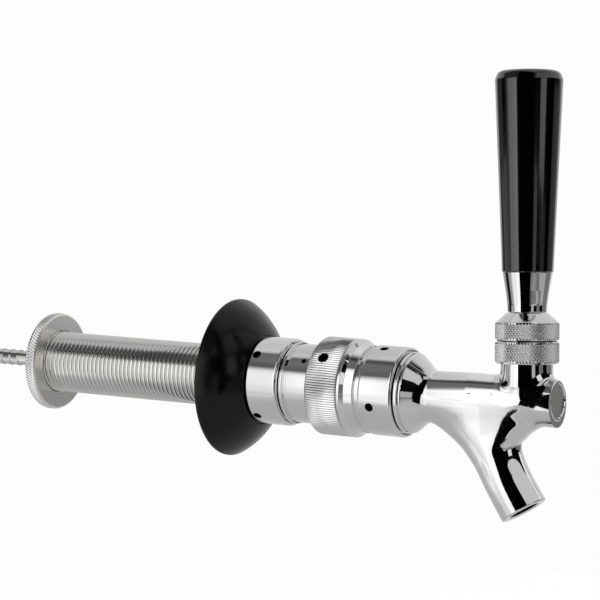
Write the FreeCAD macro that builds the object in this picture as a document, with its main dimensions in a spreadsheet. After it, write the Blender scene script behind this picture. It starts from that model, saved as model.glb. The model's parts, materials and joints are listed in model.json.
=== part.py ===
import FreeCAD, Part
import math
import os
import Sketcher
from FreeCAD import Placement, Rotation, Vector

# Beer tap with an in-line flow regulator, as a parametric document in millimetres.
# X runs along the shank towards the faucet and Z is up.
# The origin is on the shank's axis, on the face that rests on the wall.
# Every driving size is a cell of the sheet, and every outline is bound to those cells.

SIZES = [
    # Shank: a tube with a 5/8 inch pipe thread, 22.91 mm over its crests, 14 threads to the inch.
    ("shank_radius", 11.455),
    ("shank_reach", 85.5),
    ("shank_bore", 3.0),
    ("shank_shoulder_radius", 14.0),
    ("shank_shoulder_length", 3.0),
    ("thread_pitch", 1.8143),
    ("thread_depth", 1.1),
    ("thread_mouth", 1.2),
    ("thread_lead", 1.0),
    ("thread_runout", 1.2),
    # Hose barb, screwed into the rear end of the shank on a flat seal.
    ("barb_thread_radius", 5.0),
    ("barb_thread_length", 7.5),
    ("barb_seal_radius", 7.6),
    ("barb_seal_thickness", 0.8),
    ("barb_hex_width", 12.0),
    ("barb_hex_length", 3.2),
    ("barb_crest_radius", 3.05),
    ("barb_root_radius", 2.75),
    ("barb_pitch", 3.8),
    ("barb_land", 0.4),
    ("barb_ramp", 3.0),
    ("barb_lead", 6.8),
    ("barb_tip", 1.2),
    ("barb_count", 4),
    ("barb_bore", 1.8),
    # Disc nut behind the wall.
    ("disc_radius", 18.5),
    ("disc_thickness", 4.4),
    ("disc_chamfer", 0.6),
    ("disc_mouth", 0.7),
    ("disc_setback", 3.6),
    # Moulded wall flange.
    ("flange_radius", 29.0),
    ("flange_rim_height", 1.6),
    ("flange_rim_round", 0.6),
    ("flange_depth", 13.4),
    ("flange_front_radius", 16.6),
    ("flange_bulge", 30.0),
    ("flange_wall", 2.4),
    ("flange_rim_width", 3.0),
    ("flange_hub_radius", 15.0),
    ("flange_pocket_depth", 3.2),
    # Coupling thread, spigots, retaining rings and flat seals of the two couplings.
    ("coupling_thread_radius", 11.455),
    ("coupling_lip", 3.0),
    ("spigot_radius", 9.0),
    ("spigot_land", 0.6),
    ("retainer_thickness", 1.3),
    ("retainer_radius", 10.1),
    ("retainer_depth", 0.6),
    ("retainer_opening", 40.0),
    ("seal_thickness", 1.5),
    ("seal_bore", 7.0),
    ("spanner_hole_radius", 1.6),
    ("spanner_hole_depth", 2.6),
    ("spanner_hole_count", 4),
    ("nut_chamfer", 0.6),
    # Rear coupling nut.
    ("rear_nut_radius", 16.0),
    ("rear_nut_length", 12.5),
    ("rear_nut_hole_place", 2.7),
    ("rear_nut_hole_angle", 51.7),
    # Regulator body.
    ("step_land", 0.9),
    ("step_radius", 15.0),
    ("step_width", 1.0),
    ("step_groove", 1.3),
    ("step_groove_radius", 13.9),
    ("neck_radius", 14.4),
    ("neck_length", 9.2),
    ("dot_radius", 1.0),
    ("dot_depth", 0.7),
    ("dot_place", 3.6),
    ("index_angle", 52.0),
    ("inlet_bore", 4.0),
    ("inlet_length", 6.6),
    ("sleeve_radius", 12.6),
    ("sleeve_bore", 7.05),
    ("sleeve_thread_radius", 11.5),
    ("sleeve_thread_length", 5.0),
    # Regulating ring and its drive screw.
    ("ring_radius", 17.8),
    ("ring_length", 12.5),
    ("ring_chamfer", 0.4),
    ("ring_turn", 150.0),
    ("screw_place", 5.3),
    ("screw_radius", 2.0),
    ("screw_sink", 0.4),
    ("screw_point_radius", 1.4),
    ("screw_point_end", 5.5),
    ("screw_key", 1.1),
    ("screw_key_depth", 1.6),
    # Flow cone: a piston with a cam groove round it, a guide slot along it and a tapered nose.
    ("cone_travel", 4.5),
    ("piston_length", 12.8),
    ("piston_bore", 2.6),
    ("piston_rear", 36.2),
    ("cam_depth", 1.8),
    ("cam_clearance", 0.2),
    ("cam_end_angle", 18.0),
    ("guide_angle", 250.0),
    ("guide_radius", 1.0),
    ("guide_depth", 1.5),
    ("guide_place", 44.0),
    ("cone_neck_radius", 4.4),
    ("cone_neck_length", 3.0),
    ("cone_port_radius", 1.1),
    ("cone_port_count", 4),
    ("cone_length", 8.0),
    ("cone_tip_radius", 1.2),
    ("cone_gap", 0.35),
    # O-rings on the piston and on the valve shaft.
    ("oring_wire", 0.7),
    ("oring_groove", 1.6),
    ("oring_land", 0.5),
    # Regulator front housing.
    ("housing_band", 1.6),
    ("housing_taper", 4.0),
    ("housing_taper_radius", 15.9),
    ("housing_step_radius", 14.9),
    ("housing_step", 1.8),
    ("throat_bore", 2.75),
    # Front coupling nut.
    ("front_nut_radius", 16.15),
    ("front_nut_length", 13.0),
    ("front_nut_hole_place", 4.7),
    ("front_nut_hole_angle", 19.0),
    # Faucet: the barrel points up from the shank's axis, and the two axes cross at one point.
    ("barrel_tilt", 2.85),
    ("barrel_cross", 95.2),
    ("lever_reach", 22.8),
    ("faucet_ring_radius", 14.6),
    ("faucet_ring_width", 1.5),
    ("faucet_ring_gap", 0.4),
    ("faucet_lip_radius", 14.2),
    ("faucet_lip_width", 0.8),
    ("faucet_cone_length", 5.5),
    ("faucet_cone_radius", 9.3),
    ("barrel_rear_radius", 8.8),
    ("barrel_front_radius", 7.4),
    ("barrel_taper_start", 20.0),
    ("nose_reach", 11.95),
    ("nose_round", 0.4),
    ("faucet_inlet_radius", 7.0),
    ("faucet_inlet_length", 4.0),
    ("chamber_radius", 7.2),
    ("barrel_bore", 5.8),
    ("bore_mouth", 0.4),
    ("seat_place", 33.8),
    ("seat_length", 1.5),
    # Spout: its outlet and the sections above it, each with a half length and a half width.
    ("spout_angle", 31.0),
    ("spout_end_place", -0.7),
    ("spout_drop", 38.75),
    ("spout_radius", 8.45),
    ("spout_straight", 12.0),
    ("spout_bend_place", -10.75),
    ("spout_bend_drop", 20.4),
    ("spout_bend_angle", 25.0),
    ("spout_bend_half", 9.1),
    ("spout_bend_width", 7.9),
    ("spout_flare_place", -12.2),
    ("spout_flare_drop", 15.3),
    ("spout_flare_angle", 10.0),
    ("spout_flare_half", 12.1),
    ("spout_root_place", -14.05),
    ("spout_root_drop", 9.0),
    ("spout_root_half", 18.8),
    ("spout_root_width", 7.7),
    ("spout_top_drop", 3.5),
    ("spout_top_half", 21.0),
    ("spout_top_width", 7.2),
    ("spout_bore", 5.6),
    ("spout_bore_length", 25.0),
    ("spout_passage", 5.0),
    # Valve shaft, in the faucet's barrel.
    ("shaft_guide_radius", 5.72),
    ("shaft_guide_rear", 9.8),
    ("shaft_sink", 0.5),
    ("shaft_stem_radius", 2.4),
    ("shaft_stem_rear", 40.2),
    ("shaft_slot_width", 4.4),
    ("shaft_slot_depth", 2.6),
    ("shaft_slot_flare", 2.4),
    ("shaft_oring_place", 6.0),
    ("seat_washer_radius", 6.6),
    ("seat_washer_length", 2.2),
    ("seat_washer_nose", 5.4),
    ("seat_nut_width", 9.0),
    ("seat_nut_length", 2.8),
    ("valve_gap", 0.15),
    # Lever with its ball, and the washers that hold the ball.
    ("pivot_height", 15.2),
    ("ball_radius", 5.6),
    ("lever_tilt", 22.0),
    ("lever_tip_radius", 2.0),
    ("lever_arm_radius", 1.6),
    ("lever_arm_root", 2.4),
    ("lever_stem_radius", 2.9),
    ("lever_stud_radius", 4.7),
    ("lever_stud_lift", 3.5),
    ("lever_stud_gap", 0.9),
    ("ball_washer_top", 3.2),
    ("ball_washer_base", 0.9),
    ("friction_washer_top", 1.1),
    ("friction_washer_base", 3.7),
    ("ball_washer_radius", 7.5),
    ("neck_tube_radius", 9.08),
    ("neck_tube_drop", 1.1),
    ("neck_foot_radius", 7.0),
    ("neck_flare", 5.0),
    ("neck_chamber", 6.4),
    # Bonnet and lever collar.
    ("bonnet_radius", 11.25),
    ("bonnet_drop", 2.6),
    ("bonnet_rise", 5.3),
    ("bonnet_chamfer", 0.5),
    ("bonnet_mouth", 8.0),
    ("bonnet_crown", 3.2),
    ("bonnet_throat", 5.6),
    ("bonnet_roof", 0.15),
    ("collar_gap", 0.25),
    ("collar_length", 6.25),
    ("collar_taper", 3.2),
    ("collar_top_radius", 7.3),
    ("collar_swing_gap", 0.15),
    # Ferrule and handle.
    ("ferrule_gap", 0.1),
    ("ferrule_foot_radius", 6.9),
    ("ferrule_foot_length", 2.7),
    ("ferrule_waist_length", 5.0),
    ("ferrule_waist_radius", 7.7),
    ("ferrule_flare_length", 6.4),
    ("ferrule_top_radius", 8.7),
    ("ferrule_bore_length", 11.6),
    ("ferrule_stud_radius", 4.0),
    ("ferrule_stud_length", 14.3),
    ("handle_foot_radius", 8.95),
    ("handle_top_radius", 11.97),
    ("handle_length", 69.9),
    ("handle_round", 3.4),
    # Fits: between moving pieces, on threads and along the axis.
    ("axial_gap", 0.3),
    ("thread_gap", 0.08),
    ("running_gap", 0.08),
    ("wall_gap", 0.25),
    ("press_gap", 0.02),
    # How far a cut starts outside the metal, and how far it goes on past a wall.
    ("cut_margin", 0.1),
    ("cut_through", 1.0),
]

doc = FreeCAD.newDocument("BeerTap")
sheet = doc.addObject("Spreadsheet::Sheet", "Sizes")
VALUES = dict(SIZES)
for row, (alias, value) in enumerate(SIZES, start=1):
    sheet.set("A%d" % row, alias)
    sheet.set("B%d" % row, str(value))
    sheet.setAlias("B%d" % row, alias)
doc.recompute()


class Measure:
    """A size made from cells of the sheet: the expression that binds it, and its value now."""

    def __init__(self, text, value):
        self.text = text
        self.value = value

    def __add__(self, other):
        other = as_measure(other)
        return Measure("(%s + %s)" % (self.text, other.text), self.value + other.value)

    def __sub__(self, other):
        other = as_measure(other)
        return Measure("(%s - %s)" % (self.text, other.text), self.value - other.value)

    def __mul__(self, other):
        other = as_measure(other)
        return Measure("(%s * %s)" % (self.text, other.text), self.value * other.value)

    def __truediv__(self, other):
        other = as_measure(other)
        return Measure("(%s / %s)" % (self.text, other.text), self.value / other.value)

    def __rsub__(self, other):
        return as_measure(other) - self

    def __neg__(self):
        return Measure("(0 - %s)" % self.text, -self.value)

    __radd__ = __add__
    __rmul__ = __mul__


def as_measure(number):
    if isinstance(number, Measure):
        return number
    return Measure(repr(float(number)), float(number))


def sine(angle):
    return Measure("sin(%s * 1 deg)" % angle.text, math.sin(math.radians(angle.value)))


def cosine(angle):
    return Measure("cos(%s * 1 deg)" % angle.text, math.cos(math.radians(angle.value)))


def root(square):
    return Measure("sqrt(%s)" % square.text, math.sqrt(square.value))


def whole(number):
    return Measure("floor(%s)" % number.text, math.floor(number.value))


class SheetSizes:
    """Reads a cell of the sheet by its alias."""

    def __getattr__(self, alias):
        return Measure("Sizes.%s" % alias, VALUES[alias])


s = SheetSizes()
ZERO = as_measure(0)
TOLERANCE = 0.001
nodes = []


def bind(target, path, measure):
    """Bind one property of an object to a size."""
    target.setExpression(path, as_measure(measure).text)


def new_body(label):
    body = doc.addObject("PartDesign::Body", label)
    body.Label = label
    nodes.append(body)
    return body


def origin_plane(body, role):
    for feature in body.Origin.OriginFeatures:
        if feature.Role == role:
            return feature
    raise LookupError(role)


def new_sketch(body, name, role="XZ_Plane"):
    sketch = body.newObject("Sketcher::SketchObject", name)
    sketch.AttachmentSupport = [(origin_plane(body, role), "")]
    sketch.MapMode = "FlatFace"
    return sketch


def turn_about_x(target, angle, distance=ZERO):
    """Turn a sketch on the XY plane about X, and lift it off the axis by a distance."""
    target.AttachmentOffset = Placement(Vector(0, 0, 0), Rotation(Vector(1, 0, 0), 1))
    bind(target, "AttachmentOffset.Rotation.Angle", angle)
    bind(target, "AttachmentOffset.Base.y", -(distance * sine(angle)))
    bind(target, "AttachmentOffset.Base.z", distance * cosine(angle))


def hold_point(sketch, geometry, corner, place):
    """Hold one end of a line or arc, or a centre, at a bound place."""
    for kind, coordinate in zip(("DistanceX", "DistanceY"), place):
        name = "%s_%d_%d" % (kind[-1].lower(), geometry, corner)
        row = sketch.addConstraint(
            Sketcher.Constraint(kind, -1, 1, geometry, corner, coordinate.value)
        )
        sketch.renameConstraint(row, name)
        bind(sketch, "Constraints.%s" % name, coordinate)


def draw_outline(sketch, points):
    """Draw a closed outline through bound points, with straight sides."""
    places = [(as_measure(a), as_measure(b)) for a, b in points]
    corners = [Vector(a.value, b.value, 0) for a, b in places]
    count = len(corners)
    first = sketch.GeometryCount
    for index in range(count):
        sketch.addGeometry(
            Part.LineSegment(corners[index], corners[(index + 1) % count]), False
        )
    for index in range(count):
        following = first + (index + 1) % count
        sketch.addConstraint(
            Sketcher.Constraint("Coincident", first + index, 2, following, 1)
        )
    for index, place in enumerate(places):
        hold_point(sketch, first + index, 1, place)


def draw_circle(sketch, x, y, radius):
    x, y, radius = as_measure(x), as_measure(y), as_measure(radius)
    geometry = sketch.addGeometry(
        Part.Circle(Vector(x.value, y.value, 0), Vector(0, 0, 1), radius.value), False
    )
    hold_point(sketch, geometry, 3, (x, y))
    name = "radius_%d" % geometry
    row = sketch.addConstraint(Sketcher.Constraint("Radius", geometry, radius.value))
    sketch.renameConstraint(row, name)
    bind(sketch, "Constraints.%s" % name, radius)


def draw_hexagon(sketch, width):
    """Draw a hexagon about the sketch's origin, with a given width across its flats."""
    radius = width / math.sqrt(3.0)
    points = []
    for corner in range(6):
        angle = math.radians(60 * corner)
        points.append((radius * math.cos(angle), radius * math.sin(angle)))
    draw_outline(sketch, points)


def revolve(body, name, points, axis="H_Axis"):
    """Turn an outline all the way round the sketch's axis."""
    sketch = new_sketch(body, name + "_sketch")
    draw_outline(sketch, points)
    feature = body.newObject("PartDesign::Revolution", name)
    feature.Profile = sketch
    feature.ReferenceAxis = (sketch, [axis])
    feature.Angle = 360
    return feature


def groove(body, name, points, axis="H_Axis"):
    """Cut an outline all the way round the sketch's axis."""
    sketch = new_sketch(body, name + "_sketch")
    draw_outline(sketch, points)
    feature = body.newObject("PartDesign::Groove", name)
    feature.Profile = sketch
    feature.ReferenceAxis = (sketch, [axis])
    feature.Angle = 360
    return feature


def radial_pocket(body, name, x, angle, from_radius, depth, radius):
    """Cut a round hole towards the X axis, from a given distance off it."""
    sketch = new_sketch(body, name + "_sketch", "XY_Plane")
    turn_about_x(sketch, angle, from_radius)
    draw_circle(sketch, x, ZERO, radius)
    pocket = body.newObject("PartDesign::Pocket", name)
    pocket.Profile = sketch
    pocket.Type = "Length"
    bind(pocket, "Length", depth)
    return pocket


def repeat_round_x(body, name, feature, count):
    """Repeat a feature evenly round the X axis."""
    pattern = body.newObject("PartDesign::PolarPattern", name)
    pattern.Originals = [feature]
    pattern.Axis = (feature.Profile[0], ["H_Axis"])
    pattern.Angle = 360
    bind(pattern, "Occurrences", count)
    body.Tip = pattern
    return pattern


def repeat_along_x(body, name, feature, pitch, count):
    """Repeat a feature along the X axis."""
    pattern = body.newObject("PartDesign::LinearPattern", name)
    pattern.Originals = [feature]
    pattern.Direction = (feature.Profile[0], ["H_Axis"])
    bind(pattern, "Length", pitch * (count - 1))
    bind(pattern, "Occurrences", count)
    body.Tip = pattern
    return pattern


def ring_outline(x_from, x_to, r_from, r_to):
    return [(x_from, r_from), (x_to, r_from), (x_to, r_to), (x_from, r_to)]


def o_ring(label, x, groove_floor, place=None):
    """An O-ring about the X axis, lying on the floor of its groove."""
    ring = doc.addObject("Part::Torus", label)
    ring.Label = label
    bind(ring, "Radius1", groove_floor + s.oring_wire)
    bind(ring, "Radius2", s.oring_wire)
    if place is None:
        ring.Placement = Placement(Vector(0, 0, 0), Rotation(Vector(0, 1, 0), 90))
        bind(ring, "Placement.Base.x", x)
    else:
        place(ring, x)
    nodes.append(ring)
    return ring


def in_faucet_frame(body):
    """Place a body in the faucet's own frame.

    Its origin is where the lever's axis meets the barrel's axis, its X runs along the barrel
    to the nose, and its Z runs up the lever.
    """
    body.Placement = Placement(Vector(0, 0, 0), Rotation(Vector(0, -1, 0), 1))
    bind(body, "Placement.Rotation.Angle", s.barrel_tilt)
    bind(body, "Placement.Base.x", s.barrel_cross + s.lever_reach * cosine(s.barrel_tilt))
    bind(body, "Placement.Base.z", s.lever_reach * sine(s.barrel_tilt))


# Stations along X, from the hose barb to the faucet. Each is worked out from the one before.
shank_end = -s.shank_reach
barb_seal_end = shank_end - s.barb_seal_thickness
barb_hex_end = barb_seal_end - s.barb_hex_length

flange_front = s.flange_depth
shoulder_rear = flange_front - s.flange_pocket_depth
shoulder_front = shoulder_rear + s.shank_shoulder_length

rear_nut_back = flange_front + s.axial_gap
rear_nut_front = rear_nut_back + s.rear_nut_length
rear_lip_front = rear_nut_back + s.coupling_lip
rear_retainer_back = rear_lip_front + s.axial_gap
rear_retainer_front = rear_retainer_back + s.retainer_thickness
shank_face = rear_retainer_front + s.spigot_land

regulator_rear = shank_face + s.seal_thickness
step_rear = rear_nut_front + s.axial_gap
step_back = step_rear + s.step_land
step_front = step_back + s.step_width
neck_rear = step_front + s.step_groove
neck_front = neck_rear + s.neck_length
ring_rear = neck_front + s.axial_gap
ring_front = ring_rear + s.ring_length
housing_rear = ring_front + s.axial_gap
sleeve_end = housing_rear + s.sleeve_thread_length
screw_x = ring_rear + s.screw_place

housing_band_front = housing_rear + s.housing_band
housing_taper_front = housing_band_front + s.housing_taper
housing_front = housing_taper_front + s.housing_step

front_nut_back = housing_front + s.axial_gap
front_nut_front = front_nut_back + s.front_nut_length
front_lip_front = front_nut_back + s.coupling_lip
front_retainer_back = front_lip_front + s.axial_gap
front_retainer_front = front_retainer_back + s.retainer_thickness
housing_face = front_retainer_front + s.spigot_land

faucet_rear = housing_face + s.seal_thickness
faucet_shoulder = front_nut_front + s.axial_gap
faucet_ring_front = faucet_shoulder + s.faucet_ring_width
faucet_lip_rear = faucet_ring_front + s.faucet_ring_gap
faucet_lip_front = faucet_lip_rear + s.faucet_lip_width
faucet_cone_front = faucet_lip_front + s.faucet_cone_length

male_thread = s.coupling_thread_radius - s.thread_gap
retainer_floor = s.spigot_radius - s.retainer_depth

# Heights up the lever's axis, counted from the barrel's axis.
neck_top = s.pivot_height - s.neck_tube_drop
bonnet_bottom = s.pivot_height - s.bonnet_drop
bonnet_top = s.pivot_height + s.bonnet_rise
bonnet_crown = bonnet_top + s.bonnet_crown
lever_stud_start = bonnet_crown + s.lever_stud_lift
collar_bottom = bonnet_top + s.collar_gap
collar_shoulder = collar_bottom + s.collar_length
collar_top = collar_shoulder + s.collar_taper
ferrule_bottom = collar_top + s.ferrule_gap
ferrule_bore_top = ferrule_bottom + s.ferrule_bore_length
ferrule_foot_top = ferrule_bottom + s.ferrule_foot_length
ferrule_waist_top = ferrule_foot_top + s.ferrule_waist_length
ferrule_top = ferrule_waist_top + s.ferrule_flare_length
ferrule_stud_top = ferrule_top + s.ferrule_stud_length
handle_top = ferrule_top + s.handle_length


def make_shank():
    """Threaded tube with the shoulder that clamps the flange and the spigot of the rear coupling."""
    body = new_body("shank")
    socket_floor = shank_end + s.barb_thread_length
    revolve(body, "tube", [
        (shank_end, s.barb_thread_radius),
        (socket_floor, s.barb_thread_radius),
        (socket_floor, s.shank_bore),
        (shank_face, s.shank_bore),
        (shank_face, s.spigot_radius),
        (rear_retainer_front, s.spigot_radius),
        (rear_retainer_front, retainer_floor),
        (rear_retainer_back, retainer_floor),
        (rear_retainer_back, s.spigot_radius),
        (shoulder_front, s.spigot_radius),
        (shoulder_front, s.shank_shoulder_radius),
        (shoulder_rear, s.shank_shoulder_radius),
        (shoulder_rear, s.shank_radius),
        (shank_end, s.shank_radius),
    ])
    doc.recompute()
    cut_thread(body)


def cut_thread(body):
    """Pipe thread as grooves at its true pitch. They lack only its lead, which is 1.4 degrees."""
    first = shank_end + s.thread_lead
    turns = whole((shoulder_rear - s.thread_runout - first) / s.thread_pitch) + 1
    half_width = s.thread_mouth / 2 * (s.thread_depth + s.cut_margin) / s.thread_depth
    turn = groove(body, "thread_groove", [
        (first, s.shank_radius - s.thread_depth),
        (first + half_width, s.shank_radius + s.cut_margin),
        (first - half_width, s.shank_radius + s.cut_margin),
    ])
    repeat_along_x(body, "thread", turn, s.thread_pitch, turns)


def make_hose_barb():
    """Tail piece: threaded stem, hexagon and four sharp ridges that grip the beer hose."""
    body = new_body("hose_barb")
    stem_end = shank_end + s.barb_thread_length - s.axial_gap
    thread = s.barb_thread_radius - s.press_gap
    outline = [
        (stem_end, s.barb_bore),
        (stem_end, thread),
        (barb_hex_end, thread),
        (barb_hex_end, s.barb_root_radius),
    ]
    crest = barb_hex_end - s.barb_lead
    last = int(s.barb_count.value) - 1
    for ridge in range(last + 1):
        land_end = crest - s.barb_land
        ramp = s.barb_tip if ridge == last else s.barb_ramp
        outline.append((crest, s.barb_root_radius))
        outline.append((crest, s.barb_crest_radius))
        outline.append((land_end, s.barb_crest_radius))
        outline.append((land_end - ramp, s.barb_root_radius))
        crest = crest - s.barb_pitch
    outline.append((land_end - s.barb_tip, s.barb_bore))
    revolve(body, "barbed_tube", outline)
    sketch = new_sketch(body, "hex_sketch", "YZ_Plane")
    bind(sketch, "AttachmentOffset.Base.z", barb_hex_end)
    draw_hexagon(sketch, s.barb_hex_width)
    draw_circle(sketch, ZERO, ZERO, s.barb_bore)
    pad = body.newObject("PartDesign::Pad", "hexagon")
    pad.Profile = sketch
    bind(pad, "Length", s.barb_hex_length)


def make_barb_seal():
    body = new_body("barb_seal")
    revolve(body, "washer", ring_outline(
        barb_seal_end, shank_end, s.barb_thread_radius, s.barb_seal_radius))


def make_rear_nut():
    """Disc nut that clamps the shank from behind the wall."""
    body = new_body("rear_nut")
    back = shank_end + s.disc_setback
    front = back + s.disc_thickness
    hole = s.shank_radius + s.thread_gap
    edge = s.disc_radius - s.disc_chamfer
    revolve(body, "disc", [
        (back, hole + s.disc_mouth),
        (back, edge),
        (back + s.disc_chamfer, s.disc_radius),
        (front - s.disc_chamfer, s.disc_radius),
        (front, edge),
        (front, hole + s.disc_mouth),
        (front - s.disc_mouth, hole),
        (back + s.disc_mouth, hole),
    ])


def make_wall_flange():
    """Moulded flange: a hollow dome with a hub round the shank and a pocket for its shoulder."""
    body = new_body("wall_flange")
    sketch = new_sketch(body, "dome_sketch")
    hole = s.shank_radius + s.wall_gap
    pocket = s.shank_shoulder_radius + s.wall_gap
    edge = s.flange_radius - s.flange_rim_round
    roof = shoulder_rear - s.flange_wall
    rim_inside = s.flange_radius - s.flange_rim_width
    draw_outline(sketch, [
        (ZERO, hole),
        (ZERO, s.flange_hub_radius),
        (roof - s.flange_wall, s.flange_hub_radius),
        (s.flange_rim_height, rim_inside),
        (ZERO, rim_inside),
        (ZERO, edge),
        (s.flange_rim_round, s.flange_radius),
        (s.flange_rim_height, s.flange_radius),
        (flange_front, s.flange_front_radius),
        (flange_front, pocket),
        (shoulder_rear, pocket),
        (shoulder_rear, hole),
    ])
    bulge_side(sketch, 7, s.flange_bulge)
    feature = body.newObject("PartDesign::Revolution", "dome")
    feature.Profile = sketch
    feature.ReferenceAxis = (sketch, ["H_Axis"])
    feature.Angle = 360


def bulge_side(sketch, side, radius):
    """Put an arc of a given radius in place of one side, curving away from the axis.

    The side runs towards +X, so the arc is drawn back along it, which is anticlockwise.
    """
    line = sketch.Geometry[side]
    start, end = line.StartPoint, line.EndPoint
    chord = end - start
    outward = Vector(-chord.y, chord.x, 0).normalize()
    sagitta = radius.value - math.sqrt(radius.value ** 2 - (chord.Length / 2) ** 2)
    middle = (start + end) * 0.5 + outward * sagitta
    sketch.setConstruction(side, True)
    geometry = sketch.addGeometry(Part.Arc(end, middle, start), False)
    sketch.addConstraint(Sketcher.Constraint("Coincident", geometry, 1, side, 2))
    sketch.addConstraint(Sketcher.Constraint("Coincident", geometry, 2, side, 1))
    row = sketch.addConstraint(Sketcher.Constraint("Radius", geometry, radius.value))
    sketch.renameConstraint(row, "bulge")
    bind(sketch, "Constraints.bulge", radius)


def make_coupling_nut(label, back, length, radius, hole_place, hole_angle):
    """Coupling nut: a lip that turns on the spigot, a thread in front and four spanner holes."""
    body = new_body(label)
    front = back + length
    lip_bore = s.spigot_radius + s.running_gap
    revolve(body, "shell", [
        (back, lip_bore),
        (back, radius - s.nut_chamfer),
        (back + s.nut_chamfer, radius),
        (front - s.nut_chamfer, radius),
        (front, radius - s.nut_chamfer),
        (front, s.coupling_thread_radius),
        (back + s.coupling_lip, s.coupling_thread_radius),
        (back + s.coupling_lip, lip_bore),
    ])
    hole = radial_pocket(
        body, "spanner_hole", back + hole_place, hole_angle,
        radius + s.cut_margin, s.spanner_hole_depth + s.cut_margin, s.spanner_hole_radius)
    repeat_round_x(body, "spanner_holes", hole, s.spanner_hole_count)


def make_retaining_ring(label, back):
    """Open spring ring in the spigot's groove, which keeps the coupling nut on the spigot."""
    body = new_body(label)
    sketch = new_sketch(body, "section_sketch")
    sketch.AttachmentOffset = Placement(Vector(0, 0, 0), Rotation(Vector(1, 0, 0), 1))
    bind(sketch, "AttachmentOffset.Rotation.Angle", 180 + s.retainer_opening / 2)
    draw_outline(sketch, ring_outline(
        back, back + s.retainer_thickness, retainer_floor, s.retainer_radius))
    feature = body.newObject("PartDesign::Revolution", "open_ring")
    feature.Profile = sketch
    feature.ReferenceAxis = (sketch, ["H_Axis"])
    bind(feature, "Angle", 360 - s.retainer_opening)


def make_flat_seal(label, back):
    body = new_body(label)
    revolve(body, "washer", ring_outline(
        back, back + s.seal_thickness, s.seal_bore, s.spigot_radius))


cone_pitch = s.cone_travel * 360 / s.ring_turn
cam_span = s.ring_turn + s.cam_end_angle * 2
piston_radius = s.sleeve_bore - s.running_gap
piston_front = s.piston_rear + s.piston_length
cone_base = piston_front + s.cone_neck_length
cone_tip = cone_base + s.cone_length
cone_slope = (s.cone_neck_radius - s.cone_tip_radius) / s.cone_length


def make_regulator_body():
    """Inlet half of the regulator, with the sleeve that the regulating ring turns on."""
    body = new_body("regulator_body")
    inlet_front = regulator_rear + s.inlet_length
    revolve(body, "turned", [
        (regulator_rear, s.inlet_bore),
        (inlet_front, s.inlet_bore),
        (inlet_front, s.sleeve_bore),
        (sleeve_end, s.sleeve_bore),
        (sleeve_end, s.sleeve_thread_radius),
        (housing_rear, s.sleeve_thread_radius),
        (housing_rear, s.sleeve_radius),
        (neck_front, s.sleeve_radius),
        (neck_front, s.neck_radius),
        (neck_rear, s.neck_radius),
        (neck_rear, s.step_groove_radius),
        (step_front, s.step_groove_radius),
        (step_front, s.step_radius),
        (step_back, s.step_radius),
        (step_back, s.step_groove_radius),
        (step_rear, s.step_groove_radius),
        (step_rear, male_thread),
        (regulator_rear, male_thread),
    ])
    radial_pocket(
        body, "index_dot", neck_front - s.dot_place, s.index_angle,
        s.neck_radius + s.cut_margin, s.dot_depth + s.cut_margin, s.dot_radius)
    # The slot that lets the drive screw swing through the sleeve.
    sketch = new_sketch(body, "slot_sketch")
    sketch.AttachmentOffset = Placement(Vector(0, 0, 0), Rotation(Vector(1, 0, 0), 1))
    bind(sketch, "AttachmentOffset.Rotation.Angle", s.index_angle - s.cam_end_angle)
    half = s.screw_point_radius + s.cam_clearance
    draw_outline(sketch, ring_outline(
        screw_x - half, screw_x + half,
        s.sleeve_bore - s.cut_through, s.sleeve_radius + s.cut_through))
    slot = body.newObject("PartDesign::Groove", "drive_slot")
    slot.Profile = sketch
    slot.ReferenceAxis = (sketch, ["H_Axis"])
    bind(slot, "Angle", cam_span)
    # The hole that the guide pin is pressed into.
    radial_pocket(
        body, "guide_hole", s.guide_place, s.guide_angle, s.sleeve_radius,
        s.sleeve_radius - s.sleeve_bore + s.cut_through, s.guide_radius + s.press_gap)


def radial_pin(label, x, angle, outline, name):
    """A turned pin that points along a radius of the X axis."""
    body = new_body(label)
    body.Placement = Placement(Vector(0, 0, 0), Rotation(Vector(1, 0, 0), 1))
    bind(body, "Placement.Rotation.Angle", angle)
    bind(body, "Placement.Base.x", x)
    revolve(body, name, outline, axis="V_Axis")
    return body


def make_guide_pin():
    inner = piston_radius - s.guide_depth + s.cam_clearance
    outer = s.sleeve_radius - s.cam_clearance
    radial_pin("guide_pin", s.guide_place, s.guide_angle, [
        (ZERO, inner),
        (s.guide_radius, inner),
        (s.guide_radius, outer),
        (ZERO, outer),
    ], "pin")


def make_regulating_ring():
    """Ring that the user turns. Its drive screw moves the flow cone."""
    body = new_body("regulating_ring")
    bore = s.sleeve_radius + s.running_gap
    edge = s.ring_radius - s.ring_chamfer
    revolve(body, "ring", [
        (ring_rear, bore),
        (ring_rear, edge),
        (ring_rear + s.ring_chamfer, s.ring_radius),
        (ring_front - s.ring_chamfer, s.ring_radius),
        (ring_front, edge),
        (ring_front, bore),
    ])
    radial_pocket(
        body, "screw_hole", screw_x, s.index_angle, s.ring_radius + s.cut_margin,
        s.ring_radius - s.sleeve_radius + s.cut_through, s.screw_radius + s.press_gap)


def make_drive_screw():
    """Grub screw through the ring, with a point that runs in the cone's cam groove."""
    head = s.ring_radius - s.screw_sink
    root_end = s.sleeve_radius + s.running_gap * 2
    body = radial_pin("drive_screw", screw_x, s.index_angle, [
        (ZERO, s.screw_point_end),
        (s.screw_point_radius, s.screw_point_end),
        (s.screw_point_radius, root_end),
        (s.screw_radius, root_end),
        (s.screw_radius, head),
        (ZERO, head),
    ], "screw")
    sketch = new_sketch(body, "key_sketch", "XY_Plane")
    bind(sketch, "AttachmentOffset.Base.z", head)
    draw_hexagon(sketch, s.screw_key * 2)
    key = body.newObject("PartDesign::Pocket", "key_socket")
    key.Profile = sketch
    bind(key, "Length", s.screw_key_depth)


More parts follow.
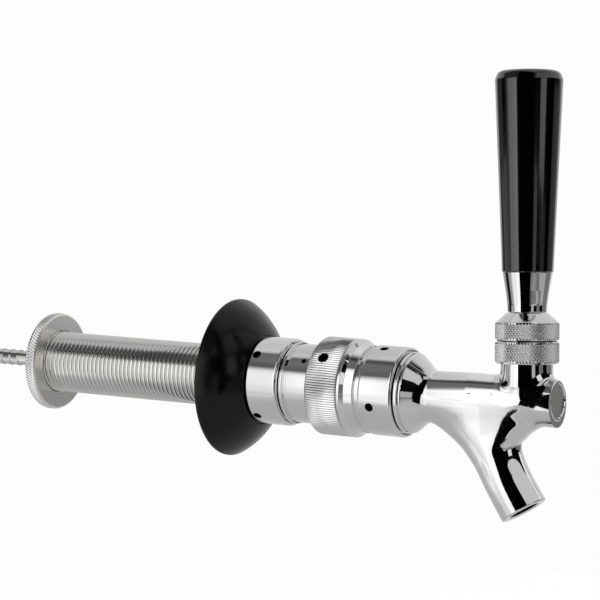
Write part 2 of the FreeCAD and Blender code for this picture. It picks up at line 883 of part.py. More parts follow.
def make_flow_cone():
    """Piston with the cam groove, the guide slot, the beer ports and the metering cone."""
    body = new_body("flow_cone")
    floor = piston_radius - s.oring_wire * 2
    rear_groove = s.piston_rear + s.oring_land
    front_groove = piston_front - s.oring_land - s.oring_groove
    revolve(body, "turned", [
        (s.piston_rear, s.piston_bore),
        (s.piston_rear, piston_radius),
        (rear_groove, piston_radius),
        (rear_groove, floor),
        (rear_groove + s.oring_groove, floor),
        (rear_groove + s.oring_groove, piston_radius),
        (front_groove, piston_radius),
        (front_groove, floor),
        (front_groove + s.oring_groove, floor),
        (front_groove + s.oring_groove, piston_radius),
        (piston_front, piston_radius),
        (piston_front, s.cone_neck_radius),
        (cone_base, s.cone_neck_radius),
        (cone_tip, s.cone_tip_radius),
        (cone_tip, ZERO),
        (cone_base, ZERO),
        (cone_base, s.piston_bore),
    ])
    port_start = s.cone_neck_radius + s.cut_margin
    port = radial_pocket(
        body, "port", piston_front + s.cone_neck_length / 2, s.index_angle,
        port_start, port_start - s.piston_bore / 2, s.cone_port_radius)
    repeat_round_x(body, "ports", port, s.cone_port_count)
    # Guide slot: it lets the cone slide and keeps it from turning.
    sketch = new_sketch(body, "guide_sketch", "XY_Plane")
    turn_about_x(sketch, s.guide_angle, piston_radius + s.cut_margin)
    half = s.guide_radius + s.cam_clearance
    draw_outline(sketch, [
        (s.guide_place - s.cone_travel - half, -half),
        (s.guide_place + half, -half),
        (s.guide_place + half, half),
        (s.guide_place - s.cone_travel - half, half),
    ])
    slot = body.newObject("PartDesign::Pocket", "guide_slot")
    slot.Profile = sketch
    bind(slot, "Length", s.guide_depth + s.cut_margin)
    doc.recompute()
    # Cam groove: a helix that starts past the drive screw and falls back as the ring turns.
    sketch = new_sketch(body, "cam_sketch")
    sketch.AttachmentOffset = Placement(Vector(0, 0, 0), Rotation(Vector(1, 0, 0), 1))
    bind(sketch, "AttachmentOffset.Rotation.Angle", s.index_angle - s.cam_end_angle)
    half = s.screw_point_radius + s.cam_clearance
    start = screw_x + cone_pitch * s.cam_end_angle / 360
    draw_outline(sketch, ring_outline(
        start - half, start + half,
        piston_radius - s.cam_depth, piston_radius + s.cut_through))
    cam = body.newObject("PartDesign::SubtractiveHelix", "cam_groove")
    cam.Profile = sketch
    cam.ReferenceAxis = (sketch, ["H_Axis"])
    cam.Mode = "pitch-turns-angle"
    cam.Reversed = True
    cam.LeftHanded = True
    bind(cam, "Pitch", cone_pitch)
    bind(cam, "Turns", cam_span / 360)


def make_cone_seals():
    floor = piston_radius - s.oring_wire * 2
    o_ring("cone_seal_rear", s.piston_rear + s.oring_land + s.oring_groove / 2, floor)
    o_ring("cone_seal_front", piston_front - s.oring_land - s.oring_groove / 2, floor)


def make_regulator_housing():
    """Outlet half of the regulator: smooth band, taper, metering seat and front spigot."""
    body = new_body("regulator_housing")
    thread = s.sleeve_thread_radius + s.press_gap
    seat_x = cone_base + s.cone_travel
    seat_end = seat_x + (s.cone_neck_radius + s.cone_gap - s.throat_bore) / cone_slope
    seat_start = sleeve_end + s.press_gap
    seat_radius = s.cone_neck_radius + s.cone_gap - (seat_start - seat_x) * cone_slope
    revolve(body, "turned", [
        (housing_rear, thread),
        (seat_start, thread),
        (seat_start, seat_radius),
        (seat_end, s.throat_bore),
        (housing_face, s.throat_bore),
        (housing_face, s.spigot_radius),
        (front_retainer_front, s.spigot_radius),
        (front_retainer_front, retainer_floor),
        (front_retainer_back, retainer_floor),
        (front_retainer_back, s.spigot_radius),
        (housing_front, s.spigot_radius),
        (housing_front, s.housing_step_radius),
        (housing_taper_front, s.housing_step_radius),
        (housing_taper_front, s.housing_taper_radius),
        (housing_band_front, s.ring_radius),
        (housing_rear + s.ring_chamfer, s.ring_radius),
        (housing_rear, s.ring_radius - s.ring_chamfer),
    ])


def spout_section(body, name, place, drop, angle, half_length, half_width):
    """One section of the spout, square to the spout's run: a circle or an ellipse."""
    sketch = new_sketch(body, name, "XY_Plane")
    sketch.AttachmentOffset = Placement(Vector(0, 0, 0), Rotation(Vector(0, -1, 0), 1))
    bind(sketch, "AttachmentOffset.Rotation.Angle", angle)
    bind(sketch, "AttachmentOffset.Base.x", place)
    bind(sketch, "AttachmentOffset.Base.z", -drop)
    if half_width is None:
        draw_circle(sketch, ZERO, ZERO, half_length)
        return sketch
    ellipse = Part.Ellipse(Vector(0, 0, 0), half_length.value, half_width.value)
    sketch.addGeometry(ellipse, False)
    sketch.exposeInternalGeometry(0)
    sketch.addConstraint(Sketcher.Constraint("Coincident", 0, 3, -1, 1))
    sketch.addConstraint(Sketcher.Constraint("Horizontal", 1))
    for line, name, size in ((1, "length", half_length * 2), (2, "width", half_width * 2)):
        row = sketch.addConstraint(Sketcher.Constraint("Distance", line, size.value))
        sketch.renameConstraint(row, name)
        bind(sketch, "Constraints.%s" % name, size)
    return sketch


def faucet_x(station):
    """A station along the shank, counted from where the barrel's axis crosses it."""
    return station - s.barrel_cross


seat_front = -s.seat_place
seat_rear = seat_front - s.seat_length
shaft_front = s.nose_reach - s.shaft_sink
shaft_travel = s.pivot_height * sine(s.lever_tilt)


def make_faucet_body():
    """Faucet casting: coupling thread, cone, barrel, neck for the lever and curved spout."""
    body = new_body("faucet_body")
    in_faucet_frame(body)
    # Coupling end, turned about the shank's axis, which slopes down in the faucet's frame.
    sketch = new_sketch(body, "coupling_sketch")
    sketch.AttachmentOffset = Placement(Vector(0, 0, 0), Rotation(Vector(0, 0, -1), 1))
    bind(sketch, "AttachmentOffset.Rotation.Angle", s.barrel_tilt)
    bind(sketch, "AttachmentOffset.Base.x", -s.lever_reach)
    draw_outline(sketch, [
        (faucet_x(faucet_rear), ZERO),
        (faucet_x(faucet_rear), male_thread),
        (faucet_x(faucet_shoulder), male_thread),
        (faucet_x(faucet_shoulder), s.faucet_ring_radius),
        (faucet_x(faucet_ring_front), s.faucet_ring_radius),
        (faucet_x(faucet_ring_front), s.faucet_lip_radius - s.faucet_ring_gap),
        (faucet_x(faucet_lip_rear), s.faucet_lip_radius - s.faucet_ring_gap),
        (faucet_x(faucet_lip_rear), s.faucet_lip_radius),
        (faucet_x(faucet_lip_front), s.faucet_lip_radius),
        (faucet_x(faucet_cone_front), s.faucet_cone_radius),
        (faucet_x(faucet_cone_front), ZERO),
    ])
    coupling = body.newObject("PartDesign::Revolution", "coupling_end")
    coupling.Profile = sketch
    coupling.ReferenceAxis = (sketch, ["H_Axis"])
    coupling.Angle = 360
    doc.recompute()
    # Barrel, tapering to the open nose.
    barrel_rear = faucet_x(faucet_cone_front) - s.lever_reach
    inlet_end = faucet_x(faucet_rear) + s.faucet_inlet_length
    chamber_rear = inlet_end - s.lever_reach - s.axial_gap
    revolve(body, "barrel", [
        (barrel_rear, ZERO),
        (barrel_rear, s.barrel_rear_radius),
        (-s.barrel_taper_start, s.barrel_rear_radius),
        (s.nose_reach - s.nose_round, s.barrel_front_radius),
        (s.nose_reach, s.barrel_front_radius - s.nose_round),
        (s.nose_reach, ZERO),
    ])
    doc.recompute()
    # Neck that carries the ball of the lever, flared where it leaves the barrel.
    bowl_floor = s.pivot_height - s.friction_washer_base
    bowl_radius = s.ball_washer_radius + s.running_gap
    revolve(body, "neck", [
        (ZERO, ZERO),
        (s.neck_foot_radius, ZERO),
        (s.neck_tube_radius, s.neck_flare),
        (s.neck_tube_radius, neck_top),
        (ZERO, neck_top),
    ], axis="V_Axis")
    doc.recompute()
    # Spout, lofted from inside the barrel to its round outlet.
    end_place, end_drop = s.spout_end_place, s.spout_drop
    straight_place = end_place - sine(s.spout_angle) * s.spout_straight
    straight_drop = end_drop - cosine(s.spout_angle) * s.spout_straight
    loft = body.newObject("PartDesign::AdditiveLoft", "spout")
    sections = [
        spout_section(body, "top_section", s.spout_root_place, s.spout_top_drop,
                      ZERO, s.spout_top_half, s.spout_top_width),
        spout_section(body, "root_section", s.spout_root_place, s.spout_root_drop,
                      ZERO, s.spout_root_half, s.spout_root_width),
        spout_section(body, "flare_section", s.spout_flare_place, s.spout_flare_drop,
                      s.spout_flare_angle, s.spout_flare_half, s.spout_bend_width),
        spout_section(body, "bend_section", s.spout_bend_place, s.spout_bend_drop,
                      s.spout_bend_angle, s.spout_bend_half, s.spout_bend_width),
        spout_section(body, "straight_section", straight_place, straight_drop,
                      s.spout_angle, s.spout_radius, None),
        spout_section(body, "outlet_section", end_place, end_drop,
                      s.spout_angle, s.spout_radius, None),
    ]
    loft.Profile = sections[0]
    loft.Sections = sections[1:]
    doc.recompute()
    # Barrel bore, valve seat and the chamber behind it.
    groove(body, "barrel_bore", [
        (chamber_rear, ZERO),
        (chamber_rear, s.chamber_radius),
        (seat_rear, s.chamber_radius),
        (seat_front, s.barrel_bore),
        (s.nose_reach - s.bore_mouth, s.barrel_bore),
        (s.nose_reach, s.barrel_bore + s.bore_mouth),
        (s.nose_reach, ZERO),
    ])
    doc.recompute()
    sketch = new_sketch(body, "inlet_sketch")
    sketch.AttachmentOffset = Placement(Vector(0, 0, 0), Rotation(Vector(0, 0, -1), 1))
    bind(sketch, "AttachmentOffset.Rotation.Angle", s.barrel_tilt)
    bind(sketch, "AttachmentOffset.Base.x", -s.lever_reach)
    draw_outline(sketch, [
        (faucet_x(faucet_rear), ZERO),
        (faucet_x(faucet_rear), s.faucet_inlet_radius),
        (inlet_end, s.faucet_inlet_radius),
        (inlet_end, ZERO),
    ])
    inlet = body.newObject("PartDesign::Groove", "inlet")
    inlet.Profile = sketch
    inlet.ReferenceAxis = (sketch, ["H_Axis"])
    inlet.Angle = 360
    doc.recompute()
    # Bowl of the friction washer and the chamber that the lever swings in.
    groove(body, "lever_chamber", [
        (ZERO, ZERO),
        (s.neck_chamber, ZERO),
        (s.neck_chamber, bowl_floor),
        (bowl_radius, bowl_floor),
        (bowl_radius, neck_top),
        (ZERO, neck_top),
    ], axis="V_Axis")
    doc.recompute()
    # Outlet: a bore that takes a plug or a hose, and the narrower passage above it.
    passage_length = end_drop / cosine(s.spout_angle)
    sketch = new_sketch(body, "outlet_sketch")
    sketch.AttachmentOffset = Placement(Vector(0, 0, 0), Rotation(Vector(0, 0, 1), 1))
    bind(sketch, "AttachmentOffset.Rotation.Angle", s.spout_angle)
    bind(sketch, "AttachmentOffset.Base.x", end_place)
    bind(sketch, "AttachmentOffset.Base.y", -end_drop)
    draw_outline(sketch, [
        (ZERO, -s.cut_margin),
        (s.spout_bore, -s.cut_margin),
        (s.spout_bore, s.spout_bore_length),
        (s.spout_passage, s.spout_bore_length),
        (s.spout_passage, passage_length),
        (ZERO, passage_length),
    ])
    outlet = body.newObject("PartDesign::Groove", "outlet")
    outlet.Profile = sketch
    outlet.ReferenceAxis = (sketch, ["V_Axis"])
    outlet.Angle = 360
    doc.recompute()


def make_valve_shaft():
    """Valve shaft: seat end, thin stem and the guide whose slot takes the lever's tip."""
    body = new_body("valve_shaft")
    in_faucet_frame(body)
    floor = s.shaft_guide_radius - s.oring_wire * 2
    oring_rear = s.shaft_oring_place - s.oring_groove / 2
    oring_front = s.shaft_oring_place + s.oring_groove / 2
    revolve(body, "turned", [
        (-s.shaft_stem_rear, ZERO),
        (-s.shaft_stem_rear, s.shaft_stem_radius),
        (-s.shaft_guide_rear, s.shaft_stem_radius),
        (-s.shaft_guide_rear, s.shaft_guide_radius),
        (oring_rear, s.shaft_guide_radius),
        (oring_rear, floor),
        (oring_front, floor),
        (oring_front, s.shaft_guide_radius),
        (shaft_front, s.shaft_guide_radius),
        (shaft_front, ZERO),
    ])
    doc.recompute()
    sketch = new_sketch(body, "slot_sketch")
    half = s.shaft_slot_width / 2
    draw_outline(sketch, [
        (-half, -s.shaft_slot_depth),
        (half, -s.shaft_slot_depth),
        (half, ZERO),
        (half + s.shaft_slot_flare, s.shaft_guide_radius + s.cut_margin),
        (-half, s.shaft_guide_radius + s.cut_margin),
    ])
    slot = body.newObject("PartDesign::Pocket", "lever_slot")
    slot.Profile = sketch
    slot.Midplane = True
    bind(slot, "Length", s.shaft_slot_width)


def seat_washer_stations():
    slope = s.seat_length / (s.chamber_radius - s.barrel_bore)
    corner = seat_rear + (s.chamber_radius - s.seat_washer_radius) * slope - s.valve_gap
    nose = corner + (s.seat_washer_radius - s.seat_washer_nose) * slope
    back = corner - s.seat_washer_length
    return back, corner, nose


def make_seat_washer():
    """Soft washer that closes on the conical seat."""
    body = new_body("seat_washer")
    in_faucet_frame(body)
    back, corner, nose = seat_washer_stations()
    bore = s.shaft_stem_radius + s.press_gap
    revolve(body, "washer", [
        (back, bore),
        (back, s.seat_washer_radius),
        (corner, s.seat_washer_radius),
        (nose, s.seat_washer_nose),
        (nose, bore),
    ])


def make_seat_nut():
    """Hexagon nut that holds the washer on the shaft."""
    body = new_body("seat_nut")
    in_faucet_frame(body)
    back = seat_washer_stations()[0] - s.seat_nut_length
    sketch = new_sketch(body, "hex_sketch", "YZ_Plane")
    bind(sketch, "AttachmentOffset.Base.z", back)
    draw_hexagon(sketch, s.seat_nut_width)
    draw_circle(sketch, ZERO, ZERO, s.shaft_stem_radius + s.press_gap)
    pad = body.newObject("PartDesign::Pad", "hexagon")
    pad.Profile = sketch
    bind(pad, "Length", s.seat_nut_length)


def place_shaft_seal(ring, x):
    ring.Placement = Placement(Vector(0, 0, 0), Rotation(Vector(0, 1, 0), 90))
    bind(ring, "Placement.Rotation.Angle", 90 - s.barrel_tilt)
    reach = s.lever_reach + x
    bind(ring, "Placement.Base.x", s.barrel_cross + reach * cosine(s.barrel_tilt))
    bind(ring, "Placement.Base.z", reach * sine(s.barrel_tilt))


def add_ball(body, name, height, radius, kind="PartDesign::AdditiveSphere"):
    ball = body.newObject(kind, name)
    ball.AttachmentSupport = [(origin_plane(body, "XY_Plane"), "")]
    ball.MapMode = "FlatFace"
    bind(ball, "AttachmentOffset.Base.z", height)
    bind(ball, "Radius", radius)
    body.Tip = ball
    return ball


def make_lever():
    """Lever: tip, arm, pivot ball, stem and the stud that takes the collar and the ferrule."""
    body = new_body("lever")
    in_faucet_frame(body)
    revolve(body, "stem", [
        (ZERO, ZERO),
        (s.lever_arm_radius, ZERO),
        (s.lever_arm_root, s.pivot_height - s.ball_radius),
        (s.lever_arm_root, s.pivot_height),
        (s.lever_stem_radius, s.pivot_height),
        (s.lever_stem_radius, lever_stud_start),
        (s.lever_stud_radius, lever_stud_start),
        (s.lever_stud_radius, ferrule_bore_top - s.lever_stud_gap),
        (ZERO, ferrule_bore_top - s.lever_stud_gap),
    ], axis="V_Axis")
    doc.recompute()
    add_ball(body, "pivot_ball", s.pivot_height, s.ball_radius)
    doc.recompute()
    add_ball(body, "tip_ball", ZERO, s.lever_tip_radius)


def make_ball_socket(label, bottom, top, bore):
    """Ring with a spherical seat for the lever's ball."""
    body = new_body(label)
    in_faucet_frame(body)
    revolve(body, "ring", ring_outline(bore, s.ball_washer_radius, bottom, top), axis="V_Axis")
    doc.recompute()
    add_ball(body, "seat", s.pivot_height, s.ball_radius + s.running_gap / 2,
             "PartDesign::SubtractiveSphere")


def make_bonnet():
    """Bonnet: it screws on the neck and presses the ball washer on the ball."""
    body = new_body("bonnet")
    in_faucet_frame(body)
    thread = s.neck_tube_radius + s.press_gap
    washer_top = s.pivot_height + s.ball_washer_top
    roof = washer_top + s.bonnet_roof
    bore = s.ball_washer_radius + s.running_gap
    revolve(body, "shell", [
        (thread, bonnet_bottom),
        (s.bonnet_radius - s.bonnet_chamfer, bonnet_bottom),
        (s.bonnet_radius, bonnet_bottom + s.bonnet_chamfer),
        (s.bonnet_radius, bonnet_top - s.bonnet_chamfer),
        (s.bonnet_radius - s.bonnet_chamfer, bonnet_top),
        (s.bonnet_mouth, bonnet_crown),
        (s.bonnet_throat, roof),
        (bore, roof),
        (bore, neck_top + s.press_gap),
        (thread, neck_top + s.press_gap),
    ], axis="V_Axis")


def make_lever_collar():
    """Lock collar on the lever's stud, hollowed so that it swings over the bonnet."""
    body = new_body("lever_collar")
    in_faucet_frame(body)
    bore = s.lever_stud_radius + s.press_gap
    revolve(body, "collar", [
        (bore, collar_bottom),
        (s.bonnet_radius, collar_bottom),
        (s.bonnet_radius, collar_shoulder),
        (s.collar_top_radius, collar_top),
        (bore, collar_top),
    ], axis="V_Axis")
    doc.recompute()
    edge = bonnet_top - s.bonnet_chamfer - s.pivot_height
    swing = root(s.bonnet_radius * s.bonnet_radius + edge * edge)
    add_ball(body, "swing_hollow", s.pivot_height, swing + s.collar_swing_gap,
             "PartDesign::SubtractiveSphere")


def make_ferrule():
    """Chrome ferrule that screws on the lever and carries the handle."""
    body = new_body("ferrule")
    in_faucet_frame(body)
    bore = s.lever_stud_radius + s.press_gap
    revolve(body, "turned", [
        (bore, ferrule_bottom),
        (s.ferrule_foot_radius, ferrule_bottom),
        (s.ferrule_foot_radius, ferrule_foot_top),
        (s.ferrule_waist_radius, ferrule_waist_top),
        (s.ferrule_top_radius, ferrule_top),
        (s.ferrule_stud_radius, ferrule_top),
        (s.ferrule_stud_radius, ferrule_stud_top),
        (ZERO, ferrule_stud_top),
        (ZERO, ferrule_bore_top),
        (bore, ferrule_bore_top),
    ], axis="V_Axis")


def make_handle():
    """Tapered handle with a rounded top."""
    body = new_body("handle")
    in_faucet_frame(body)
    bore = s.ferrule_stud_radius + s.press_gap
    bore_top = ferrule_stud_top + s.press_gap
    revolve(body, "grip", [
        (bore, ferrule_top),
        (s.handle_foot_radius, ferrule_top),
        (s.handle_top_radius, handle_top),
        (ZERO, handle_top),
        (ZERO, bore_top),
        (bore, bore_top),
    ], axis="V_Axis")
    doc.recompute()
    grip = body.Tip
    names = []
    for index, edge in enumerate(grip.Shape.Edges, start=1):
        box = edge.BoundBox
        at_top = abs(box.ZMin - handle_top.value) < TOLERANCE
        if at_top and box.ZLength < TOLERANCE < box.XLength:
            names.append("Edge%d" % index)
    fillet = body.newObject("PartDesign::Fillet", "top_round")
    fillet.Base = (grip, names)
    bind(fillet, "Radius", s.handle_round)


make_hose_barb()
make_barb_seal()
make_shank()
make_rear_nut()
make_wall_flange()
make_coupling_nut("coupling_nut_rear", rear_nut_back, s.rear_nut_length, s.rear_nut_radius,
                  s.rear_nut_hole_place, s.rear_nut_hole_angle)
make_retaining_ring("retaining_ring_rear", rear_retainer_back)
make_flat_seal("coupling_seal_rear", shank_face)
make_regulator_body()
make_guide_pin()
make_regulating_ring()
make_drive_screw()
make_flow_cone()
make_cone_seals()
make_regulator_housing()
make_coupling_nut("coupling_nut_front", front_nut_back, s.front_nut_length, s.front_nut_radius,
                  s.front_nut_hole_place, s.front_nut_hole_angle)
make_retaining_ring("retaining_ring_front", front_retainer_back)
make_flat_seal("coupling_seal_front", housing_face)
make_faucet_body()
make_valve_shaft()
o_ring("shaft_seal", s.shaft_oring_place, s.shaft_guide_radius - s.oring_wire * 2,
       place_shaft_seal)
make_seat_washer()
make_seat_nut()
make_lever()
make_ball_socket("ball_washer", s.pivot_height + s.ball_washer_base,
                 s.pivot_height + s.ball_washer_top, s.lever_stem_radius)
make_ball_socket("friction_washer", s.pivot_height - s.friction_washer_base,
                 s.pivot_height - s.friction_washer_top, s.lever_arm_root)
make_bonnet()
make_lever_collar()
make_ferrule()
make_handle()

doc.recompute()
for item in doc.Objects:
    if "Invalid" in item.State or "Error" in item.State:
        raise RuntimeError("%s did not recompute: %s" % (item.Label, item.State))
for node in nodes:
    if node.Shape.isNull() or not node.Shape.isValid():
        raise RuntimeError("%s has no valid shape" % node.Label)

os.makedirs("parts", exist_ok=True)
for node in nodes:
    node.Shape.exportStep("parts/%s.step" % node.Label)
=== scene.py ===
import json
import math

import bmesh
import bpy
import numpy as np
from bpy.props import (
    FloatProperty,
    FloatVectorProperty,
    IntProperty,
    PointerProperty,
    StringProperty,
)
from mathutils import Matrix, Vector


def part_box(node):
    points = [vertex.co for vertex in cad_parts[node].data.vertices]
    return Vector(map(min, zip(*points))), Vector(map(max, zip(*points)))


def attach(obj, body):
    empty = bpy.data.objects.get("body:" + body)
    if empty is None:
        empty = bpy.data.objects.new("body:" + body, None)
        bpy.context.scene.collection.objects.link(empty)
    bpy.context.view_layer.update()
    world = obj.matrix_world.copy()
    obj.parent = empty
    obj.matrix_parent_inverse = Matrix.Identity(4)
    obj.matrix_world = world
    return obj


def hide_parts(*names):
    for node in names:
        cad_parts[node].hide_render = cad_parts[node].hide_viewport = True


bl_info = {
    "name": "Beer Tap With Flow Control",
    "version": (1, 0, 0),
    "blender": (4, 5, 0),
    "location": "3D View > Sidebar > Beer Tap",
    "description": "Dresses the fixed frame of a beer tap with finished pieces and a studio",
    "category": "Object",
}

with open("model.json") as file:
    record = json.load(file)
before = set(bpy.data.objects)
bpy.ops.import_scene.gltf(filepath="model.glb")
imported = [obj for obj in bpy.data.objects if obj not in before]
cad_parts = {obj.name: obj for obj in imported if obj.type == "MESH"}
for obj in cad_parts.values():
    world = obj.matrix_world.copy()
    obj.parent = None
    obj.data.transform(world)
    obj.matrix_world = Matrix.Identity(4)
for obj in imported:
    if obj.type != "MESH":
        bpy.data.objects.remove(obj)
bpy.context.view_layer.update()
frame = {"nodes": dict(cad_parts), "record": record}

# Shapes are worked out in millimetres and stored in metres.
MM = 0.001

JOINTS = {joint["name"]: joint for joint in frame["record"]["behaviour"]["joints"]}


def reach(node):
    """Where a turned node starts and ends along X, and its radius, in millimetres."""
    low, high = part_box(node)
    return low[0] / MM, high[0] / MM, high[1] / MM


def faucet_frame():
    """The faucet's frame in millimetres: X along the barrel, Z up the lever's axis."""
    along = Vector(JOINTS["shaft_slide"]["axis"]).normalized()
    across = Vector((0, 1, 0))
    up = along.cross(across)
    pivot = Vector(JOINTS["lever_tilt"]["pos_m"]) / MM
    origin = pivot - up * bpy.context.scene.tap_sizes.pivot_height / MM
    frame_matrix = Matrix((along, across, up)).transposed().to_4x4()
    frame_matrix.translation = origin
    return frame_matrix


def lever_frame():
    """A frame for turned pieces on the lever: X up the lever's axis, from the barrel's axis."""
    return faucet_frame() @ Matrix.Rotation(math.radians(-90), 4, "Y")


def length(name, millimetres, description):
    """A length property, stored in metres and shown in the scene's unit."""
    return FloatProperty(
        name=name, description=description, default=millimetres * MM,
        min=0.0, unit="LENGTH", precision=5)


def bearing(name, degrees, description):
    """An angle property, given in degrees."""
    return FloatProperty(
        name=name, description=description, default=math.radians(degrees), subtype="ANGLE")


def paint(name, code, description):
    """A colour property whose default is an sRGB hex value."""
    return StringProperty(name=name, description=description, default=code)


class TapSizes(bpy.types.PropertyGroup):
    """Sizes of the pieces that the frame's boxes and joints don't give."""

    edge: length("Edge", 0.22, "Rounding of the turned edges")
    nut_edge: length("Nut edge", 0.9, "Rounding of the coupling nuts' edges")
    spanner_hole: length("Spanner hole", 1.6, "Radius of the spanner holes")
    spanner_depth: length("Spanner depth", 2.6, "Depth of the spanner holes")
    rear_hole_place: length("Rear hole place", 2.7, "Holes from the rear nut's back face")
    front_hole_place: length("Front hole place", 4.7, "Holes from the front nut's back face")
    rear_hole_angle: bearing(
        "Rear hole angle", 51.7, "First spanner hole of the rear nut, from the top")
    front_hole_angle: bearing(
        "Front hole angle", 19.0, "First spanner hole of the front nut, from the top")
    index_angle: bearing("Index angle", 52.0, "The dot and the drive screw, from the top")
    index_dot: length("Index dot", 1.0, "Radius of the index dot")
    thread_pitch: length("Thread pitch", 25.4 / 14, "Fourteen threads to the inch")
    thread_depth: length("Thread depth", 1.1, "Depth of the pipe thread")
    thread_crest: length("Thread crest", 11.455, "Radius over the pipe thread's crests")
    flange_bulge: length("Flange bulge", 30.0, "Radius of the flange's arched side")
    shank_bore: length("Shank bore", 3.0, "Radius of the shank's bore")
    rib_count: IntProperty(
        name="Ribs", description="Ribs round the regulating ring", default=124, min=24)
    rib_depth: length("Rib depth", 0.3, "Depth of the grooves between the ribs")
    knurl_width: length("Knurl width", 1.13, "Width of one diamond of the knurling")
    knurl_height: length("Knurl height", 1.45, "Height of one diamond of the knurling")
    knurl_depth: length("Knurl depth", 0.3, "Depth of the knurling")
    pivot_height: length("Pivot height", 15.2, "From the barrel's axis to the lever's pivot")
    skin_step: length("Skin step", 0.45, "Grid step of the cast faucet's surface")


class TapColours(bpy.types.PropertyGroup):
    """Colours of the finishes, as sRGB hex values."""

    chrome: paint("Chrome", "EDEDEE", "Polished chromium plate")
    knurling: paint("Knurling", "F8F8F8", "Chromium plate over knurling")
    nickel: paint("Nickel", "E2E1DE", "Nickel plate, a little warmer than chromium")
    satin: paint("Satin nickel", "F0EEEA", "Nickel plate over a fine turned grain")
    phenolic: paint("Phenolic", "020203", "Black phenolic resin of the handle")
    moulded: paint("Moulded", "040506", "Black moulded flange")
    stainless: paint("Stainless", "D2D2D0", "Turned stainless steel")
    oxide: paint("Black oxide", "1B1B1D", "Blackened steel screw")
    rubber: paint("Rubber", "141414", "Nitrile rubber seals")
    acetal: paint("Acetal", "E6E4DC", "White acetal resin")
    brass: paint("Brass", "C6A15B", "Plain turned brass")
    # Painted shade: the drilled holes are coloured near black to stand in for the shade inside
    # them.
    drilling: paint("Drilling", "0C0B0A", "Unplated bottoms of the drilled holes")
    paper: paint("Paper", "FFFFFF", "Seamless studio paper")


class StudioSettings(bpy.types.PropertyGroup):
    """Where the camera stands and how low the floor lies."""

    azimuth: bearing("Azimuth", 28.72, "Camera angle from a square side view, to the spout")
    elevation: bearing("Elevation", 2.23, "Camera angle above the tap")
    roll: bearing("Roll", 2.85, "Camera roll")
    distance: length("Distance", 877.9, "From the camera to the point that it aims at")
    aim: FloatVectorProperty(
        name="Aim", description="The point that the camera aims at",
        default=(0.02625, 0.0, 0.0302), subtype="XYZ_LENGTH", unit="LENGTH")
    lens: FloatProperty(
        name="Lens", description="Focal length", default=144.14, subtype="DISTANCE_CAMERA")
    floor_drop: length("Floor drop", 200.0, "From the shank's axis to the floor")


def linear(code):
    """Linear colour of an sRGB hex value."""
    channels = [int(code[start:start + 2], 16) / 255 for start in (0, 2, 4)]
    curve = [c / 12.92 if c <= 0.04045 else ((c + 0.055) / 1.055) ** 2.4 for c in channels]
    return (*curve, 1.0)


def add_node(tree, kind, links=None, **settings):
    """Add a node with its settings, and link or set its inputs."""
    node = tree.nodes.new(kind)
    for name, value in settings.items():
        setattr(node, name, value)
    for socket, source in (links or {}).items():
        if isinstance(source, bpy.types.NodeSocket):
            tree.links.new(source, node.inputs[socket])
        else:
            node.inputs[socket].default_value = source
    return node


def new_material(name):
    """A material with only its output node, and that node's tree."""
    made = bpy.data.materials.new(name)
    made.use_nodes = True
    tree = made.node_tree
    tree.nodes.clear()
    return made, tree, add_node(tree, "ShaderNodeOutputMaterial")


METAL = {"Metallic": 1.0}

# The tap's finishes, by the name that a piece or the record's slot uses. Each has its material's
# name, its colour's name, its lowest and highest roughness, the width and the height of its
# grain in millimetres, and what else its shader needs.
FINISHES = {
    # Bright chromium plate on polished brass: a mirror with only a trace of polishing haze.
    "chrome": ("polished_chrome_plate", "chrome", 0.03, 0.07, 9.0, 0.0006, METAL),
    # Bright nickel plate on the shank and the hose tail: a mirror, warmer than chromium.
    "nickel": ("bright_nickel_plate", "nickel", 0.04, 0.08, 6.0, 0.0006, METAL),
    # The disc nut's faces are plated over a fine turned grain, so they shine softly.
    "satin": ("satin_nickel_plate", "satin", 0.26, 0.34, 1.2, 0.0008, METAL),
    # The bottoms of the drilled holes, where plate doesn't reach: dull unplated brass, darkened to
    # near black as painted shade inside the holes.
    "drilling": ("unplated_drilling_painted_shade", "drilling", 0.5, 0.7, 0.8, 0.001, {"Metallic": 0.5}),
    # The knurling is plated over sharp tool marks, so its facets shine softly.
    "knurl": ("plated_knurling", "knurling", 0.34, 0.42, 1.0, 0.0008, METAL),
    # Phenolic resin, compression moulded, buffed and lacquered: deep black with strips of light.
    "phenolic": ("lacquered_phenolic_resin", "phenolic", 0.1, 0.16, 6.0, 0.001,
                 {"IOR": 1.63, "Coat Weight": 1.0, "Coat Roughness": 0.05}),
    # Injection moulded ABS: black and not very shiny, with the slight swell of a moulded skin.
    "black_plastic": ("moulded_black_abs", "moulded", 0.14, 0.24, 5.0, 0.003,
                      {"Specular IOR Level": 0.3}),
    # Stainless bar, turned and left as it came off the lathe: a pale grey satin.
    "steel": ("turned_stainless_steel", "stainless", 0.25, 0.4, 0.4, 0.001, METAL),
    # Black oxide on a hardened screw: dark, oily and a little glossy.
    "dark_steel": ("black_oxide_steel", "oxide", 0.3, 0.45, 0.5, 0.001, METAL),
    # Nitrile rubber as moulded: dull black.
    "rubber": ("nitrile_rubber", "rubber", 0.6, 0.75, 0.3, 0.004, {}),
    # Acetal turned from rod: waxy white.
    "white_plastic": ("turned_acetal", "acetal", 0.35, 0.45, 0.8, 0.001, {}),
    # Brass nut, turned and unplated.
    "brass": ("turned_brass", "brass", 0.2, 0.32, 0.5, 0.001, METAL),
}
MATERIALS = {}


